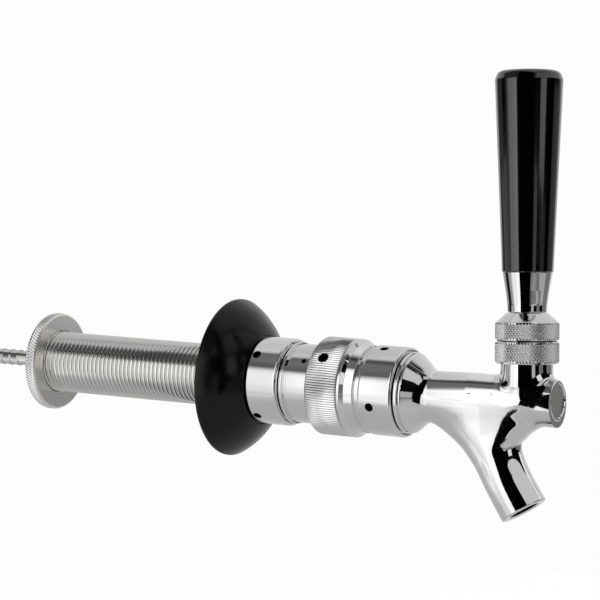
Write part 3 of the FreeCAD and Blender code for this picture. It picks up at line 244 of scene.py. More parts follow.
def finish_material(name, colour, smoothest, roughest, grain, bump, shader):
    """A surface with a fine grain in its roughness and relief.

    The grain's noise lies mostly between 0.3 and 0.7, which is spread over the roughness.
    """
    made, nodes, output = new_material(name)
    place = add_node(nodes, "ShaderNodeTexCoord")
    noise = add_node(nodes, "ShaderNodeTexNoise", {
        "Vector": place.outputs["Object"], "Scale": 1 / (grain * MM), "Detail": 4.0})
    spread = add_node(nodes, "ShaderNodeMapRange", {
        "Value": noise.outputs["Fac"], "From Min": 0.3, "From Max": 0.7,
        "To Min": smoothest, "To Max": roughest})
    relief = add_node(nodes, "ShaderNodeBump", {
        "Height": noise.outputs["Fac"], "Distance": bump * MM, "Strength": 1.0})
    surface = add_node(nodes, "ShaderNodeBsdfPrincipled", {
        "Base Color": linear(getattr(bpy.context.scene.tap_colours, colour)),
        "Roughness": spread.outputs["Result"], "Normal": relief.outputs["Normal"], **shader})
    nodes.links.new(surface.outputs["BSDF"], output.inputs["Surface"])
    return made


def material(name):
    """The material of a finish, made when it is first needed."""
    if name not in MATERIALS:
        MATERIALS[name] = finish_material(*FINISHES[name])
    return MATERIALS[name]


# Half of a corner's angle from which it counts as straight, and the degrees from point to point
# of an arc.
STRAIGHT, ARC_STEP = math.radians(88), 12


def rounded(corners):
    """Turn corners (along, radius, rounding) into sides and arcs.

    Returns the points, and for each side the outward normals at its two ends, so that a turned
    surface can be shaded exactly.
    """
    count = len(corners)
    spots = [np.array(corner[:2], float) for corner in corners]
    area = sum(
        spots[i][0] * spots[(i + 1) % count][1] - spots[(i + 1) % count][0] * spots[i][1]
        for i in range(count))
    if area < 0:
        corners = corners[::-1]
        spots = spots[::-1]
    points, arcs = [], []
    for i, corner in enumerate(corners):
        here = spots[i]
        before, after = spots[i - 1] - here, spots[(i + 1) % count] - here
        rounding = corner[2] if len(corner) > 2 else 0.0
        room_before, room_after = np.linalg.norm(before), np.linalg.norm(after)
        before, after = before / room_before, after / room_after
        half = math.acos(np.clip(np.dot(before, after), -1, 1)) / 2
        if rounding <= 0 or half > STRAIGHT:
            points.append(here)
            arcs.append(None)
            continue
        trim = min(rounding / math.tan(half), 0.49 * room_before, 0.49 * room_after)
        radius = trim * math.tan(half)
        centre = here + (before + after) / np.linalg.norm(before + after) * radius / math.sin(half)
        convex = before[0] * after[1] - before[1] * after[0] < 0
        start, end = here + before * trim, here + after * trim
        steps = max(2, int(math.degrees(math.pi - 2 * half) / ARC_STEP) + 1)
        for step in range(steps + 1):
            blend = step / steps
            ray = (start - centre) * (1 - blend) + (end - centre) * blend
            ray = ray / np.linalg.norm(ray)
            points.append(centre + ray * radius)
            arcs.append((i, ray if convex else -ray))
    sides = []
    for i, point in enumerate(points):
        j = (i + 1) % len(points)
        side = points[j] - point
        normal = np.array((side[1], -side[0])) / max(np.linalg.norm(side), 1e-9)
        same_arc = arcs[i] and arcs[j] and arcs[i][0] == arcs[j][0]
        sides.append((arcs[i][1], arcs[j][1]) if same_arc else (normal, normal))
    return np.array(points), np.array(sides)


def split_sides(points, sides, longest):
    """Divide the long sides of an outline, so that a hole drilled in one disturbs little."""
    new_points, new_sides = [], []
    for i, point in enumerate(points):
        after = points[(i + 1) % len(points)]
        parts = max(1, int(np.linalg.norm(after - point) / longest))
        for part in range(parts):
            new_points.append(point + (after - point) * part / parts)
            low = sides[i][0] + (sides[i][1] - sides[i][0]) * part / parts
            high = sides[i][0] + (sides[i][1] - sides[i][0]) * (part + 1) / parts
            new_sides.append((low, high))
    return np.array(new_points), np.array(new_sides)


def turned_mesh(name, points, matrix, turns):
    """Turn an outline round the X axis of a frame in millimetres."""
    angles = np.arange(turns) * 2 * math.pi / turns
    ring = np.stack((np.cos(angles), np.sin(angles)), axis=1)
    coordinates, starts = [], []
    for along, radius in points:
        starts.append((len(coordinates), radius > 1e-6))
        if radius > 1e-6:
            coordinates.extend((along, radius * c, radius * s) for c, s in ring)
        else:
            coordinates.append((along, 0.0, 0.0))
    faces = []
    for i in range(len(points)):
        (a, wide_a), (b, wide_b) = starts[i], starts[(i + 1) % len(points)]
        if not wide_a and not wide_b:
            continue
        for turn in range(turns):
            following = (turn + 1) % turns
            corners = [a + turn, a + following] if wide_a else [a]
            corners += [b + following, b + turn] if wide_b else [b]
            faces.append(corners[::-1])
    mesh = bpy.data.meshes.new(name)
    mesh.from_pydata(coordinates, [], faces)
    mesh.transform(Matrix.Scale(MM, 4) @ matrix)
    mesh.validate()
    return mesh


def read(items, name, width=1, kind=float):
    """One attribute of all of a mesh's items, as an array with a row for each."""
    values = np.empty(len(items) * width, kind)
    items.foreach_get(name, values)
    return values if width == 1 else values.reshape(-1, width)


def shade_turned(mesh, points, sides, matrix):
    """Give a turned mesh, drilled or not, the exact normals of its outline.

    A face that is further from the outline than touch, in millimetres, or turned away from it is
    the wall of a drilled hole, and keeps its own normal.
    """
    touch, alike = 0.03, 0.8
    inverse = np.array((Matrix.Scale(MM, 4) @ matrix).inverted())
    turn = np.array(matrix.to_3x3())
    local = read(mesh.vertices, "co", 3) @ inverse[:3, :3].T + inverse[:3, 3]
    reach_out = np.hypot(local[:, 1], local[:, 2])
    flat = np.stack((local[:, 0], reach_out), axis=1)
    starts, ends = points, np.roll(points, -1, axis=0)
    spans = ends - starts
    sizes = np.maximum((spans ** 2).sum(axis=1), 1e-12)
    owner = read(mesh.loops, "vertex_index", kind=int)
    first = read(mesh.polygons, "loop_start", kind=int)
    count = read(mesh.polygons, "loop_total", kind=int)
    own = read(mesh.polygons, "normal", 3)
    middle = np.add.reduceat(flat[owner], first, axis=0) / count[:, None]
    # The side of the outline that each face lies on is the one nearest to its middle.
    nearest, away = np.zeros(len(middle), int), np.full(len(middle), np.inf)
    for side, (start, span) in enumerate(zip(starts, spans)):
        along = np.clip((middle - start) @ span / sizes[side], 0, 1)
        distance = np.linalg.norm(start + along[:, None] * span - middle, axis=1)
        closer = distance < away
        nearest[closer], away[closer] = side, distance[closer]
    side = np.repeat(nearest, count)
    share = ((flat[owner] - starts[side]) * spans[side]).sum(axis=1) / sizes[side]
    share = np.clip(share, 0, 1)[:, None]
    normal = sides[side, 0] * (1 - share) + sides[side, 1] * share
    ray = local[owner, 1:] / np.maximum(reach_out[owner], 1e-6)[:, None]
    exact = np.column_stack((normal[:, 0], normal[:, 1:] * ray)) @ turn.T
    mean = np.add.reduceat(exact, first, axis=0) / count[:, None]
    on_outline = (away < touch) & ((mean * own).sum(axis=1) > alike)
    normals = np.where(np.repeat(on_outline, count)[:, None], exact, np.repeat(own, count, axis=0))
    mesh.polygons.foreach_set("use_smooth", [True] * len(mesh.polygons))
    mesh.normals_split_custom_set(normals.tolist())


def add_object(name, mesh, finish):
    """Put a mesh in the scene as an object with one finish."""
    piece = bpy.data.objects.new(name, mesh)
    bpy.context.scene.collection.objects.link(piece)
    mesh.materials.clear()
    mesh.materials.append(material(finish))
    return piece


def settled(piece):
    """Apply a piece's modifiers by replacing its mesh with the evaluated one."""
    graph = bpy.context.evaluated_depsgraph_get()
    mesh = bpy.data.meshes.new_from_object(piece.evaluated_get(graph))
    piece.modifiers.clear()
    old = piece.data
    piece.data = mesh
    mesh.name = piece.name
    bpy.data.meshes.remove(old)


def drilled(piece, drills):
    """Cut round holes. Each drill is a place, a direction, a radius and a depth in millimetres."""
    tools = bpy.data.meshes.new("drills")
    build = bmesh.new()
    for place, direction, radius, depth in drills:
        turn = Vector(direction).to_track_quat("Z", "Y").to_matrix().to_4x4()
        middle = Vector(place) - Vector(direction) * depth / 2
        matrix = Matrix.Scale(MM, 4) @ Matrix.Translation(middle) @ turn
        bmesh.ops.create_cone(
            build, cap_ends=True, segments=32, radius1=radius, radius2=radius,
            depth=depth, matrix=matrix)
    build.to_mesh(tools)
    build.free()
    # The drills carry the dark drilling finish, so the cut leaves painted shade in the holes.
    tool = add_object("drills", tools, "drilling")
    cut = piece.modifiers.new("drilling", "BOOLEAN")
    cut.operation = "DIFFERENCE"
    cut.solver = "EXACT"
    cut.material_mode = "TRANSFER"
    cut.object = tool
    settled(piece)
    bpy.data.objects.remove(tool)
    bpy.data.meshes.remove(tools)


def hand_over(piece, body, slot, *nodes):
    """Seat a piece on its body and hide the nodes that it stands for. Its slot is not used."""
    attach(piece, body)
    if nodes:
        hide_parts(*nodes)


def turned(name, corners, finish, seat, matrix=Matrix(), turns=160, drills=(), longest=None):
    """Make a turned piece with rounded corners and drilled holes, and hand it over.

    seat is its body, its slot, which is not used, and the node that it stands for. Sides longer
    than longest are divided before the drilling.
    """
    points, sides = rounded(corners)
    if longest:
        points, sides = split_sides(points, sides, longest)
    piece = add_object(name, turned_mesh(name, points, matrix, turns), finish)
    if drills:
        drilled(piece, drills)
    shade_turned(piece.data, points, sides, matrix)
    hand_over(piece, *seat)


# How far outside a surface a drill starts, in millimetres.
DRILL_RISE = 0.5


def radial(along, angle, radius):
    """A place off the X axis, and its outward direction. Zero is up, and 90 degrees is -Y."""
    direction = Vector((0, -math.sin(angle), math.cos(angle)))
    return Vector((along, 0, 0)) + direction * radius, direction


class Value:
    """A number in a node tree. Arithmetic with it adds the nodes that work it out."""

    def __init__(self, tree, socket):
        self.tree = tree
        self.socket = socket

    def __add__(self, other):
        return self.tree.math("ADD", self, other)

    def __sub__(self, other):
        return self.tree.math("SUBTRACT", self, other)

    def __rsub__(self, other):
        return self.tree.math("SUBTRACT", other, self)

    def __mul__(self, other):
        return self.tree.math("MULTIPLY", self, other)

    def __truediv__(self, other):
        return self.tree.math("DIVIDE", self, other)

    def __mod__(self, other):
        return self.tree.math("MODULO", self, other)


class NodeTree:
    """A geometry node group with named inputs, the last of which is its material."""

    def __init__(self, name, inputs):
        self.group = bpy.data.node_groups.new(name, "GeometryNodeTree")
        sockets = {"Geometry": "NodeSocketGeometry", **inputs, "Material": "NodeSocketMaterial"}
        for label, kind in sockets.items():
            self.group.interface.new_socket(label, in_out="INPUT", socket_type=kind)
        self.group.interface.new_socket(
            "Geometry", in_out="OUTPUT", socket_type="NodeSocketGeometry")
        self.inputs = self.add("NodeGroupInput").outputs
        self.numbers = [Value(self, self.inputs[label]) for label in inputs]

    def add(self, kind, links=None, **settings):
        """Add a node to the group."""
        sources = {key: source.socket if isinstance(source, Value) else source
                   for key, source in (links or {}).items()}
        return add_node(self.group, kind, sources, **settings)

    def math(self, operation, *sources):
        """The result of one arithmetic node."""
        node = self.add("ShaderNodeMath", dict(enumerate(sources)), operation=operation)
        return Value(self, node.outputs[0])

    def point(self):
        """The place of each point, as three numbers."""
        position = self.add("GeometryNodeInputPosition").outputs[0]
        split = self.add("ShaderNodeSeparateXYZ", {0: position})
        return [Value(self, part) for part in split.outputs]

    def vector(self, *parts):
        """Three numbers as one vector."""
        return self.add("ShaderNodeCombineXYZ", dict(enumerate(parts))).outputs[0]

    def on_cylinder(self, radius, turn, along):
        """A place from its radius, its share of a turn and its place along X."""
        angle = turn * (2 * math.pi)
        return self.vector(
            along, radius * self.math("COSINE", angle), radius * self.math("SINE", angle))

    def finish(self, geometry):
        """End the tree in real geometry with the piece's material."""
        real = self.add("GeometryNodeRealizeInstances", {"Geometry": geometry})
        painted = self.add("GeometryNodeSetMaterial", {
            "Geometry": real.outputs[0], "Material": self.inputs["Material"]})
        self.add("NodeGroupOutput", {0: painted.outputs[0]})
        return self.group


FLOAT, WHOLE = "NodeSocketFloat", "NodeSocketInt"


def thread_tree():
    """A screw thread about X: a grid wrapped round a helix, so that its edges follow the helix."""
    tree = NodeTree("screw_thread", {
        "Start": FLOAT, "End": FLOAT, "Lead": FLOAT, "Crest Radius": FLOAT, "Depth": FLOAT,
        "Pitch": FLOAT, "Steps Round": WHOLE})
    start, end, lead, crest, depth, pitch, steps_round = tree.numbers
    # Grid rows to one pitch, and threads that are made beyond the span and folded onto its ends.
    samples, spare = 8, 2.0
    half_sample = 0.5 / samples
    threads = tree.math("CEIL", (end - start) / pitch) + spare
    grid = tree.add("GeometryNodeMeshGrid", {
        "Size X": 1.0, "Size Y": 1.0, "Vertices X": threads * samples + 1.0,
        "Vertices Y": steps_round})
    x, y, _ = tree.point()
    turn = y + 0.5
    count = (x + 0.5) * threads
    # The crest is flat over half of the pitch, and the rest is a deep V.
    valley = tree.math("ABSOLUTE", tree.math("FRACT", count + half_sample) - 0.5)
    slope = tree.add("ShaderNodeMapRange", {
        "Value": valley, "From Min": 0.02, "From Max": 0.25, "To Min": 0.0, "To Max": 1.0})
    radius = crest - (1.0 - Value(tree, slope.outputs[0])) * depth
    # On the front side the first valley lies one lead from the start.
    helix = (count + turn) + (lead / pitch + (half_sample - spare))
    along = tree.math("MULTIPLY_ADD", helix, pitch, start)
    along = tree.math("MINIMUM", tree.math("MAXIMUM", along, start), end)
    wrapped = tree.add("GeometryNodeSetPosition", {
        "Geometry": grid.outputs["Mesh"], "Position": tree.on_cylinder(radius, turn, along)})
    merged = tree.add("GeometryNodeMergeByDistance", {
        "Geometry": wrapped.outputs[0], "Distance": 0.000002})
    return tree.finish(merged.outputs[0])


def knurl_tree():
    """Rows of four-sided diamonds on a cylinder about X, every second row shifted by half."""
    tree = NodeTree("diamond_knurl", {
        "Start": FLOAT, "Radius": FLOAT, "Columns": WHOLE, "Rows": WHOLE,
        "Height": FLOAT, "Depth": FLOAT})
    start, radius, columns, rows, height, depth = tree.numbers
    points = tree.add("GeometryNodePoints", {"Count": columns * rows})
    index = Value(tree, tree.add("GeometryNodeInputIndex").outputs[0])
    row = tree.math("FLOOR", index / columns)
    turn = (index % columns + row % 2.0 * 0.5) / columns
    floor = radius - depth
    half_height = height * 0.5
    along = tree.math("MULTIPLY_ADD", row + 1.0, half_height, start)
    placed = tree.add("GeometryNodeSetPosition", {
        "Geometry": points.outputs[0], "Position": tree.on_cylinder(floor, turn, along)})
    pyramid = tree.add("GeometryNodeMeshCone", {
        "Vertices": 4, "Radius Top": 0.0, "Radius Bottom": 1.0, "Depth": 1.0})
    # The pyramid's base lies on the cylinder, with one diagonal along X and its tip outwards.
    width = floor * (2 * math.pi) / columns
    tilt = turn * (2 * math.pi) - math.pi / 2
    pyramids = tree.add("GeometryNodeInstanceOnPoints", {
        "Points": placed.outputs[0], "Instance": pyramid.outputs["Mesh"],
        "Rotation": tree.vector(tilt, 0.0, 0.0),
        "Scale": tree.vector(half_height, width * 0.5, depth)})
    return tree.finish(pyramids.outputs[0])


def rib_tree():
    """Fine ribs along X, cut into the outside of a turned ring that is given as the mesh."""
    tree = NodeTree("fine_ribs", {
        "Start": FLOAT, "End": FLOAT, "Radius": FLOAT, "Depth": FLOAT, "Ribs": WHOLE})
    start, end, radius, depth, ribs = tree.numbers
    x, across, up = tree.point()
    reach_out = tree.math("SQRT", across * across + up * up)
    wave = tree.math("COSINE", tree.math("ARCTAN2", up, across) * ribs)
    # Only points on the outside and between the ring's edges move.
    outside = tree.math("COMPARE", reach_out, radius, 0.0001)
    between = tree.math("GREATER_THAN", x, start) * tree.math("LESS_THAN", x, end)
    cut = (1.0 - wave) * 0.5 * depth * (outside * between)
    scale = (reach_out - cut) / reach_out
    ribbed = tree.add("GeometryNodeSetPosition", {
        "Geometry": tree.inputs["Geometry"],
        "Position": tree.vector(x, across * scale, up * scale)})
    return tree.finish(ribbed.outputs[0])


def grown(name, group, values, finish, base=None, matrix=None):
    """Run a node tree on a mesh, or on an empty one, and keep the result as a plain mesh."""
    piece = add_object(name, base or bpy.data.meshes.new(name), finish)
    modifier = piece.modifiers.new(name, "NODES")
    modifier.node_group = group
    values = {**values, "Material": material(finish)}
    for item in group.interface.items_tree:
        if item.in_out == "INPUT" and item.name in values:
            modifier[item.identifier] = values[item.name]
    settled(piece)
    if matrix is not None:
        scale = Matrix.Scale(MM, 4)
        piece.data.transform(scale @ matrix @ scale.inverted())
    return piece


TREES = {}


def shared_tree(name, make):
    """One node tree of each kind, made when it is first needed."""
    if name not in TREES:
        TREES[name] = make()
    return TREES[name]


def smooth_by_angle(mesh, degrees):
    """Shade a mesh smooth, apart from edges sharper than an angle."""
    mesh.polygons.foreach_set("use_smooth", [True] * len(mesh.polygons))
    mesh.set_sharp_from_angle(angle=math.radians(degrees))


def knurled(name, start, end, radius, body, matrix=None):
    """A band of diamonds between two places on the axis."""
    sizes = bpy.context.scene.tap_sizes
    columns = round(2 * math.pi * radius * MM / sizes.knurl_width)
    rows = max(1, int((end - start) * MM / sizes.knurl_height * 2) - 1)
    height = (end - start) * MM * 2 / (rows + 1)
    piece = grown(name, shared_tree("knurl", knurl_tree), {
        "Start": start * MM, "Radius": radius * MM, "Columns": columns, "Rows": rows,
        "Height": height, "Depth": sizes.knurl_depth}, "knurl", matrix=matrix)
    hand_over(piece, body, "chrome")


class TAP_OT_shank(bpy.types.Operator):
    """Make the threaded shank"""

    bl_idname = "tap.shank"
    bl_label = "Threaded Shank"

    def execute(self, context):
        sizes = context.scene.tap_sizes
        rear, face, shoulder = reach("shank")
        shoulder_front = reach("wall_flange")[1] - 0.2
        shoulder_rear = shoulder_front - 3
        crest, bore = sizes.thread_crest / MM, sizes.shank_bore / MM
        # The core lies a little above the bottom of the thread's valleys.
        core = crest - sizes.thread_depth / MM + 0.02
        thread_end, spigot = 9.0, 9.0
        turned("shank_core", [
            (rear, bore, 0.3), (rear, core - 0.3, 0.15), (rear + 0.4, core), (thread_end, core),
            (thread_end, crest), (shoulder_rear, crest), (shoulder_rear, shoulder, 0.2),
            (shoulder_front, shoulder, 0.2), (shoulder_front, spigot), (face, spigot, 0.2),
            (face, bore),
        ], "nickel", ("tap", "chrome", "shank"))
        thread = grown("shank_thread", shared_tree("thread", thread_tree), {
            "Start": (rear + 0.3) * MM, "End": (thread_end + 0.2) * MM, "Lead": 0.7 * MM,
            "Crest Radius": crest * MM, "Depth": sizes.thread_depth,
            "Pitch": sizes.thread_pitch, "Steps Round": 129}, "nickel")
        smooth_by_angle(thread.data, 20)
        hand_over(thread, "tap", "chrome")
        return {"FINISHED"}


class TAP_OT_rear_end(bpy.types.Operator):
    """Make the disc nut and the hose barb"""

    bl_idname = "tap.rear_end"
    bl_label = "Disc Nut and Hose Barb"

    def execute(self, context):
        back, front, radius = reach("rear_nut")
        rim = radius - context.scene.tap_sizes.knurl_depth / MM
        hole, chamfer, bevel = 11.535, 0.7, 0.5
        turned("disc_nut", [
            (back, hole + chamfer), (back, rim - bevel, 0.2), (back + bevel, rim),
            (front - bevel, rim), (front, rim - bevel, 0.2), (front, hole + chamfer),
            (front - chamfer, hole), (back + chamfer, hole),
        ], "satin", ("disc_nut", "chrome", "rear_nut"), turns=192)
        knurled("disc_nut_knurl", back + 0.45, front - 0.45, radius, "disc_nut")
        self.make_barb()
        return {"FINISHED"}

    def make_barb(self):
        """The hose tail, a bored stem with four ridges, and its hexagon."""
        tip, stem_end, _ = reach("hose_barb")
        seal_back = reach("barb_seal")[0]
        hexagon_back = seal_back - 3.2
        first_ridge = hexagon_back - 6.8
        across_flats = 12.0
        bore, stem, crest, spigot = 1.8, 2.75, 3.05, 4.9
        pitch, land = 3.8, 0.4
        outline = [(stem_end, bore), (stem_end, spigot), (seal_back, spigot),
                   (hexagon_back, spigot), (hexagon_back, stem)]
        for ridge, ramp in enumerate((3.0, 3.0, 3.0, 1.2)):
            start = first_ridge - pitch * ridge
            outline += [(start, stem), (start, crest, 0.06), (start - land, crest, 0.1),
                        (start - land - ramp, stem, 0.05)]
        outline.append((tip, bore))
        turned("hose_tail", outline, "nickel", ("tap", "chrome", "hose_barb"), turns=96)
        corner = across_flats / math.sqrt(3)
        mesh = bpy.data.meshes.new("hose_tail_hexagon")
        build = bmesh.new()
        turn = Matrix.Rotation(math.radians(90), 4, "Y")
        middle = Matrix.Translation(((seal_back + hexagon_back) / 2, 0, 0))
        bmesh.ops.create_cone(
            build, cap_ends=True, segments=6, radius1=corner, radius2=corner,
            depth=seal_back - hexagon_back, matrix=Matrix.Scale(MM, 4) @ middle @ turn)
        bmesh.ops.bevel(
            build, geom=build.edges[:], offset=0.25 * MM, segments=2, affect="EDGES")
        build.to_mesh(mesh)
        build.free()
        nut = add_object("hose_tail_hexagon", mesh, "nickel")
        smooth_by_angle(mesh, 30)
        hand_over(nut, "tap", "chrome")


class TAP_OT_flange(bpy.types.Operator):
    """Make the moulded wall flange"""

    bl_idname = "tap.flange"
    bl_label = "Wall Flange"

    def execute(self, context):
        rear, front, radius = reach("wall_flange")
        bulge = context.scene.tap_sizes.flange_bulge / MM
        low, high = np.array((rear + 1.6, radius)), np.array((front, 16.6))
        chord = high - low
        half = np.linalg.norm(chord) / 2
        outward = np.array((-chord[1], chord[0])) / (2 * half)
        centre = (low + high) / 2 - outward * math.sqrt(bulge ** 2 - half ** 2)
        dome, steps = [], 14
        for step in range(steps + 1):
            spot = low + chord * step / steps - centre
            spot = centre + spot / np.linalg.norm(spot) * bulge
            dome.append((float(spot[0]), float(spot[1]), 4.0 if 0 < step < steps else 0.7))
        # The back is hollowed out round a foot, and the front is recessed for the shoulder.
        hole, foot, hollow, recess = 11.7, 15.0, 26.0, 14.25
        foot_depth, rim_depth, recess_floor = 5.4, 1.6, 10.2
        turned("wall_flange_shell", [
            (rear, hole, 0.3), (rear, foot, 0.3), (foot_depth, foot), (rim_depth, hollow),
            (rear, hollow, 0.3), (rear, radius - 0.6, 0.3), (rear + 0.6, radius, 0.6), *dome,
            (front, recess, 0.3), (recess_floor, recess), (recess_floor, hole),
        ], "black_plastic", ("tap", "black_plastic", "wall_flange"), turns=192)
        return {"FINISHED"}


class TAP_OT_couplings(bpy.types.Operator):
    """Make the two coupling nuts with their spanner holes"""

    bl_idname = "tap.couplings"
    bl_label = "Coupling Nuts"

    def execute(self, context):
        sizes = context.scene.tap_sizes
        self.make_nut(
            "coupling_nut_rear", "rear_coupling", sizes.rear_hole_place, sizes.rear_hole_angle)
        self.make_nut(
            "coupling_nut_front", "front_coupling", sizes.front_hole_place,
            sizes.front_hole_angle)
        return {"FINISHED"}

    def make_nut(self, node, body, hole_place, hole_angle):
        """One nut, with a lip at its back and four spanner holes."""
        sizes = bpy.context.scene.tap_sizes
        back, front, radius = reach(node)
        edge = sizes.nut_edge / MM
        hole, thread, lip = 9.08, 11.455, 3.0
        drills = []
        for quarter in range(4):
            place, direction = radial(
                back + hole_place / MM, hole_angle + quarter * math.pi / 2, radius + DRILL_RISE)
            drills.append((place, direction, sizes.spanner_hole / MM,
                           sizes.spanner_depth / MM + DRILL_RISE))
        turned(node + "_shell", [
            (back, hole), (back, radius, edge), (front, radius, edge), (front, thread, 0.3),
            (back + lip, thread), (back + lip, hole),
        ], "chrome", (body, "chrome", node), turns=256, drills=drills, longest=0.8)


class TAP_OT_regulator(bpy.types.Operator):
    """Make the regulator: body, ribbed ring and front housing"""

    bl_idname = "tap.regulator"
    bl_label = "Flow Regulator"

    def execute(self, context):
        ring_rear, ring_front, ring_radius = reach("regulating_ring")
        house_rear, house_face, _ = reach("regulator_housing")
        self.make_body(ring_rear - 0.3, house_rear)
        self.make_ring(ring_rear, ring_front, ring_radius)
        self.make_housing(house_rear, house_face, ring_radius)
        return {"FINISHED"}

    def make_body(self, neck_front, seat_front):
        """The body: thread, step, neck with the index dot, and the seat of the ring."""
        sizes = bpy.context.scene.tap_sizes
        edge = sizes.edge / MM
        rear, end, step = reach("regulator_body")
        neck_rear = neck_front - 9.2
        step_front = neck_rear - 1.3
        step_back = step_front - 1.0
        step_rear = reach("coupling_nut_rear")[1] + 0.3
        thread, groove, neck, seat, spigot = 11.375, 13.9, 14.4, 12.6, 11.5
        inlet, cylinder, cylinder_rear = 4.0, 7.05, rear + 6.6
        dot_place, dot_direction = radial(
            neck_front - 3.6, sizes.index_angle, neck + DRILL_RISE)
        turned("regulator_body_shell", [
            (rear, inlet), (rear, thread, 0.4), (step_rear, thread), (step_rear, groove, 0.1),
            (step_back, groove), (step_back, step, edge), (step_front, step, edge),
            (step_front, groove), (neck_rear, groove), (neck_rear, neck, edge),
            (neck_front, neck, edge), (neck_front, seat), (seat_front, seat),
            (seat_front, spigot), (end, spigot), (end, cylinder), (cylinder_rear, cylinder),
            (cylinder_rear, inlet),
        ], "chrome", ("tap", "chrome", "regulator_body"), turns=256, longest=0.8,
            drills=[(dot_place, dot_direction, sizes.index_dot / MM, 1.2)])

    def make_ring(self, rear, front, radius):
        """The ring, ribbed by its node tree, with the hole of the drive screw."""
        sizes = bpy.context.scene.tap_sizes
        edge, bore, steps_per_rib = 0.45, 12.68, 8
        points, _ = rounded([
            (rear, bore), (rear, radius - edge, 0.1), (rear + edge, radius),
            (front - edge, radius), (front, radius - edge, 0.1), (front, bore)])
        base = turned_mesh(
            "regulating_ring_ribs", points, Matrix(), sizes.rib_count * steps_per_rib)
        ring = grown("regulating_ring_ribs", shared_tree("ribs", rib_tree), {
            "Start": (rear - 1) * MM, "End": (front + 1) * MM, "Radius": radius * MM,
            "Depth": sizes.rib_depth, "Ribs": sizes.rib_count}, "chrome", base=base)
        low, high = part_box("drive_screw")
        screw_place = (low[0] + high[0]) / 2 / MM
        screw_radius, screw_depth = 2.05, 6.0
        place, direction = radial(screw_place, sizes.index_angle, radius + DRILL_RISE)
        drilled(ring, [(place, direction, screw_radius, screw_depth)])
        smooth_by_angle(ring.data, 40)
        hand_over(ring, "ring", "chrome", "regulating_ring")

    def make_housing(self, rear, face, radius):
        """The housing: a narrow band, a bevel, and then a long skirt that hardly tapers."""
        edge = bpy.context.scene.tap_sizes.edge / MM
        band, bevel, skirt = rear + 1.2, rear + 2.3, rear + 5.6
        front = skirt + 1.8
        bore, land, spigot = 11.52, 14.9, 9.0
        # Inside, the seat of the flow cone narrows from the bore's floor to the passage.
        seat_rear, seat_front, seat, passage = 57.1, 62.5, 4.9, 2.75
        turned("regulator_housing_shell", [
            (rear, bore), (rear, radius, 0.4), (band, radius, 0.3), (bevel, 16.3, 0.2),
            (skirt, 15.88, 0.3), (skirt, land, 0.1), (front, land, edge), (front, spigot),
            (face, spigot, 0.3), (face, passage), (seat_front, passage), (seat_rear, seat),
            (seat_rear, bore),
        ], "chrome", ("tap", "chrome", "regulator_housing"), turns=256)


def blended(first, second, width):
    """Join two distance fields with a fillet: a cubic blend, so that reflections stay smooth."""
    share = np.clip(width - np.abs(first - second), 0, None) / width
    return np.minimum(first, second) - share ** 3 * width / 6


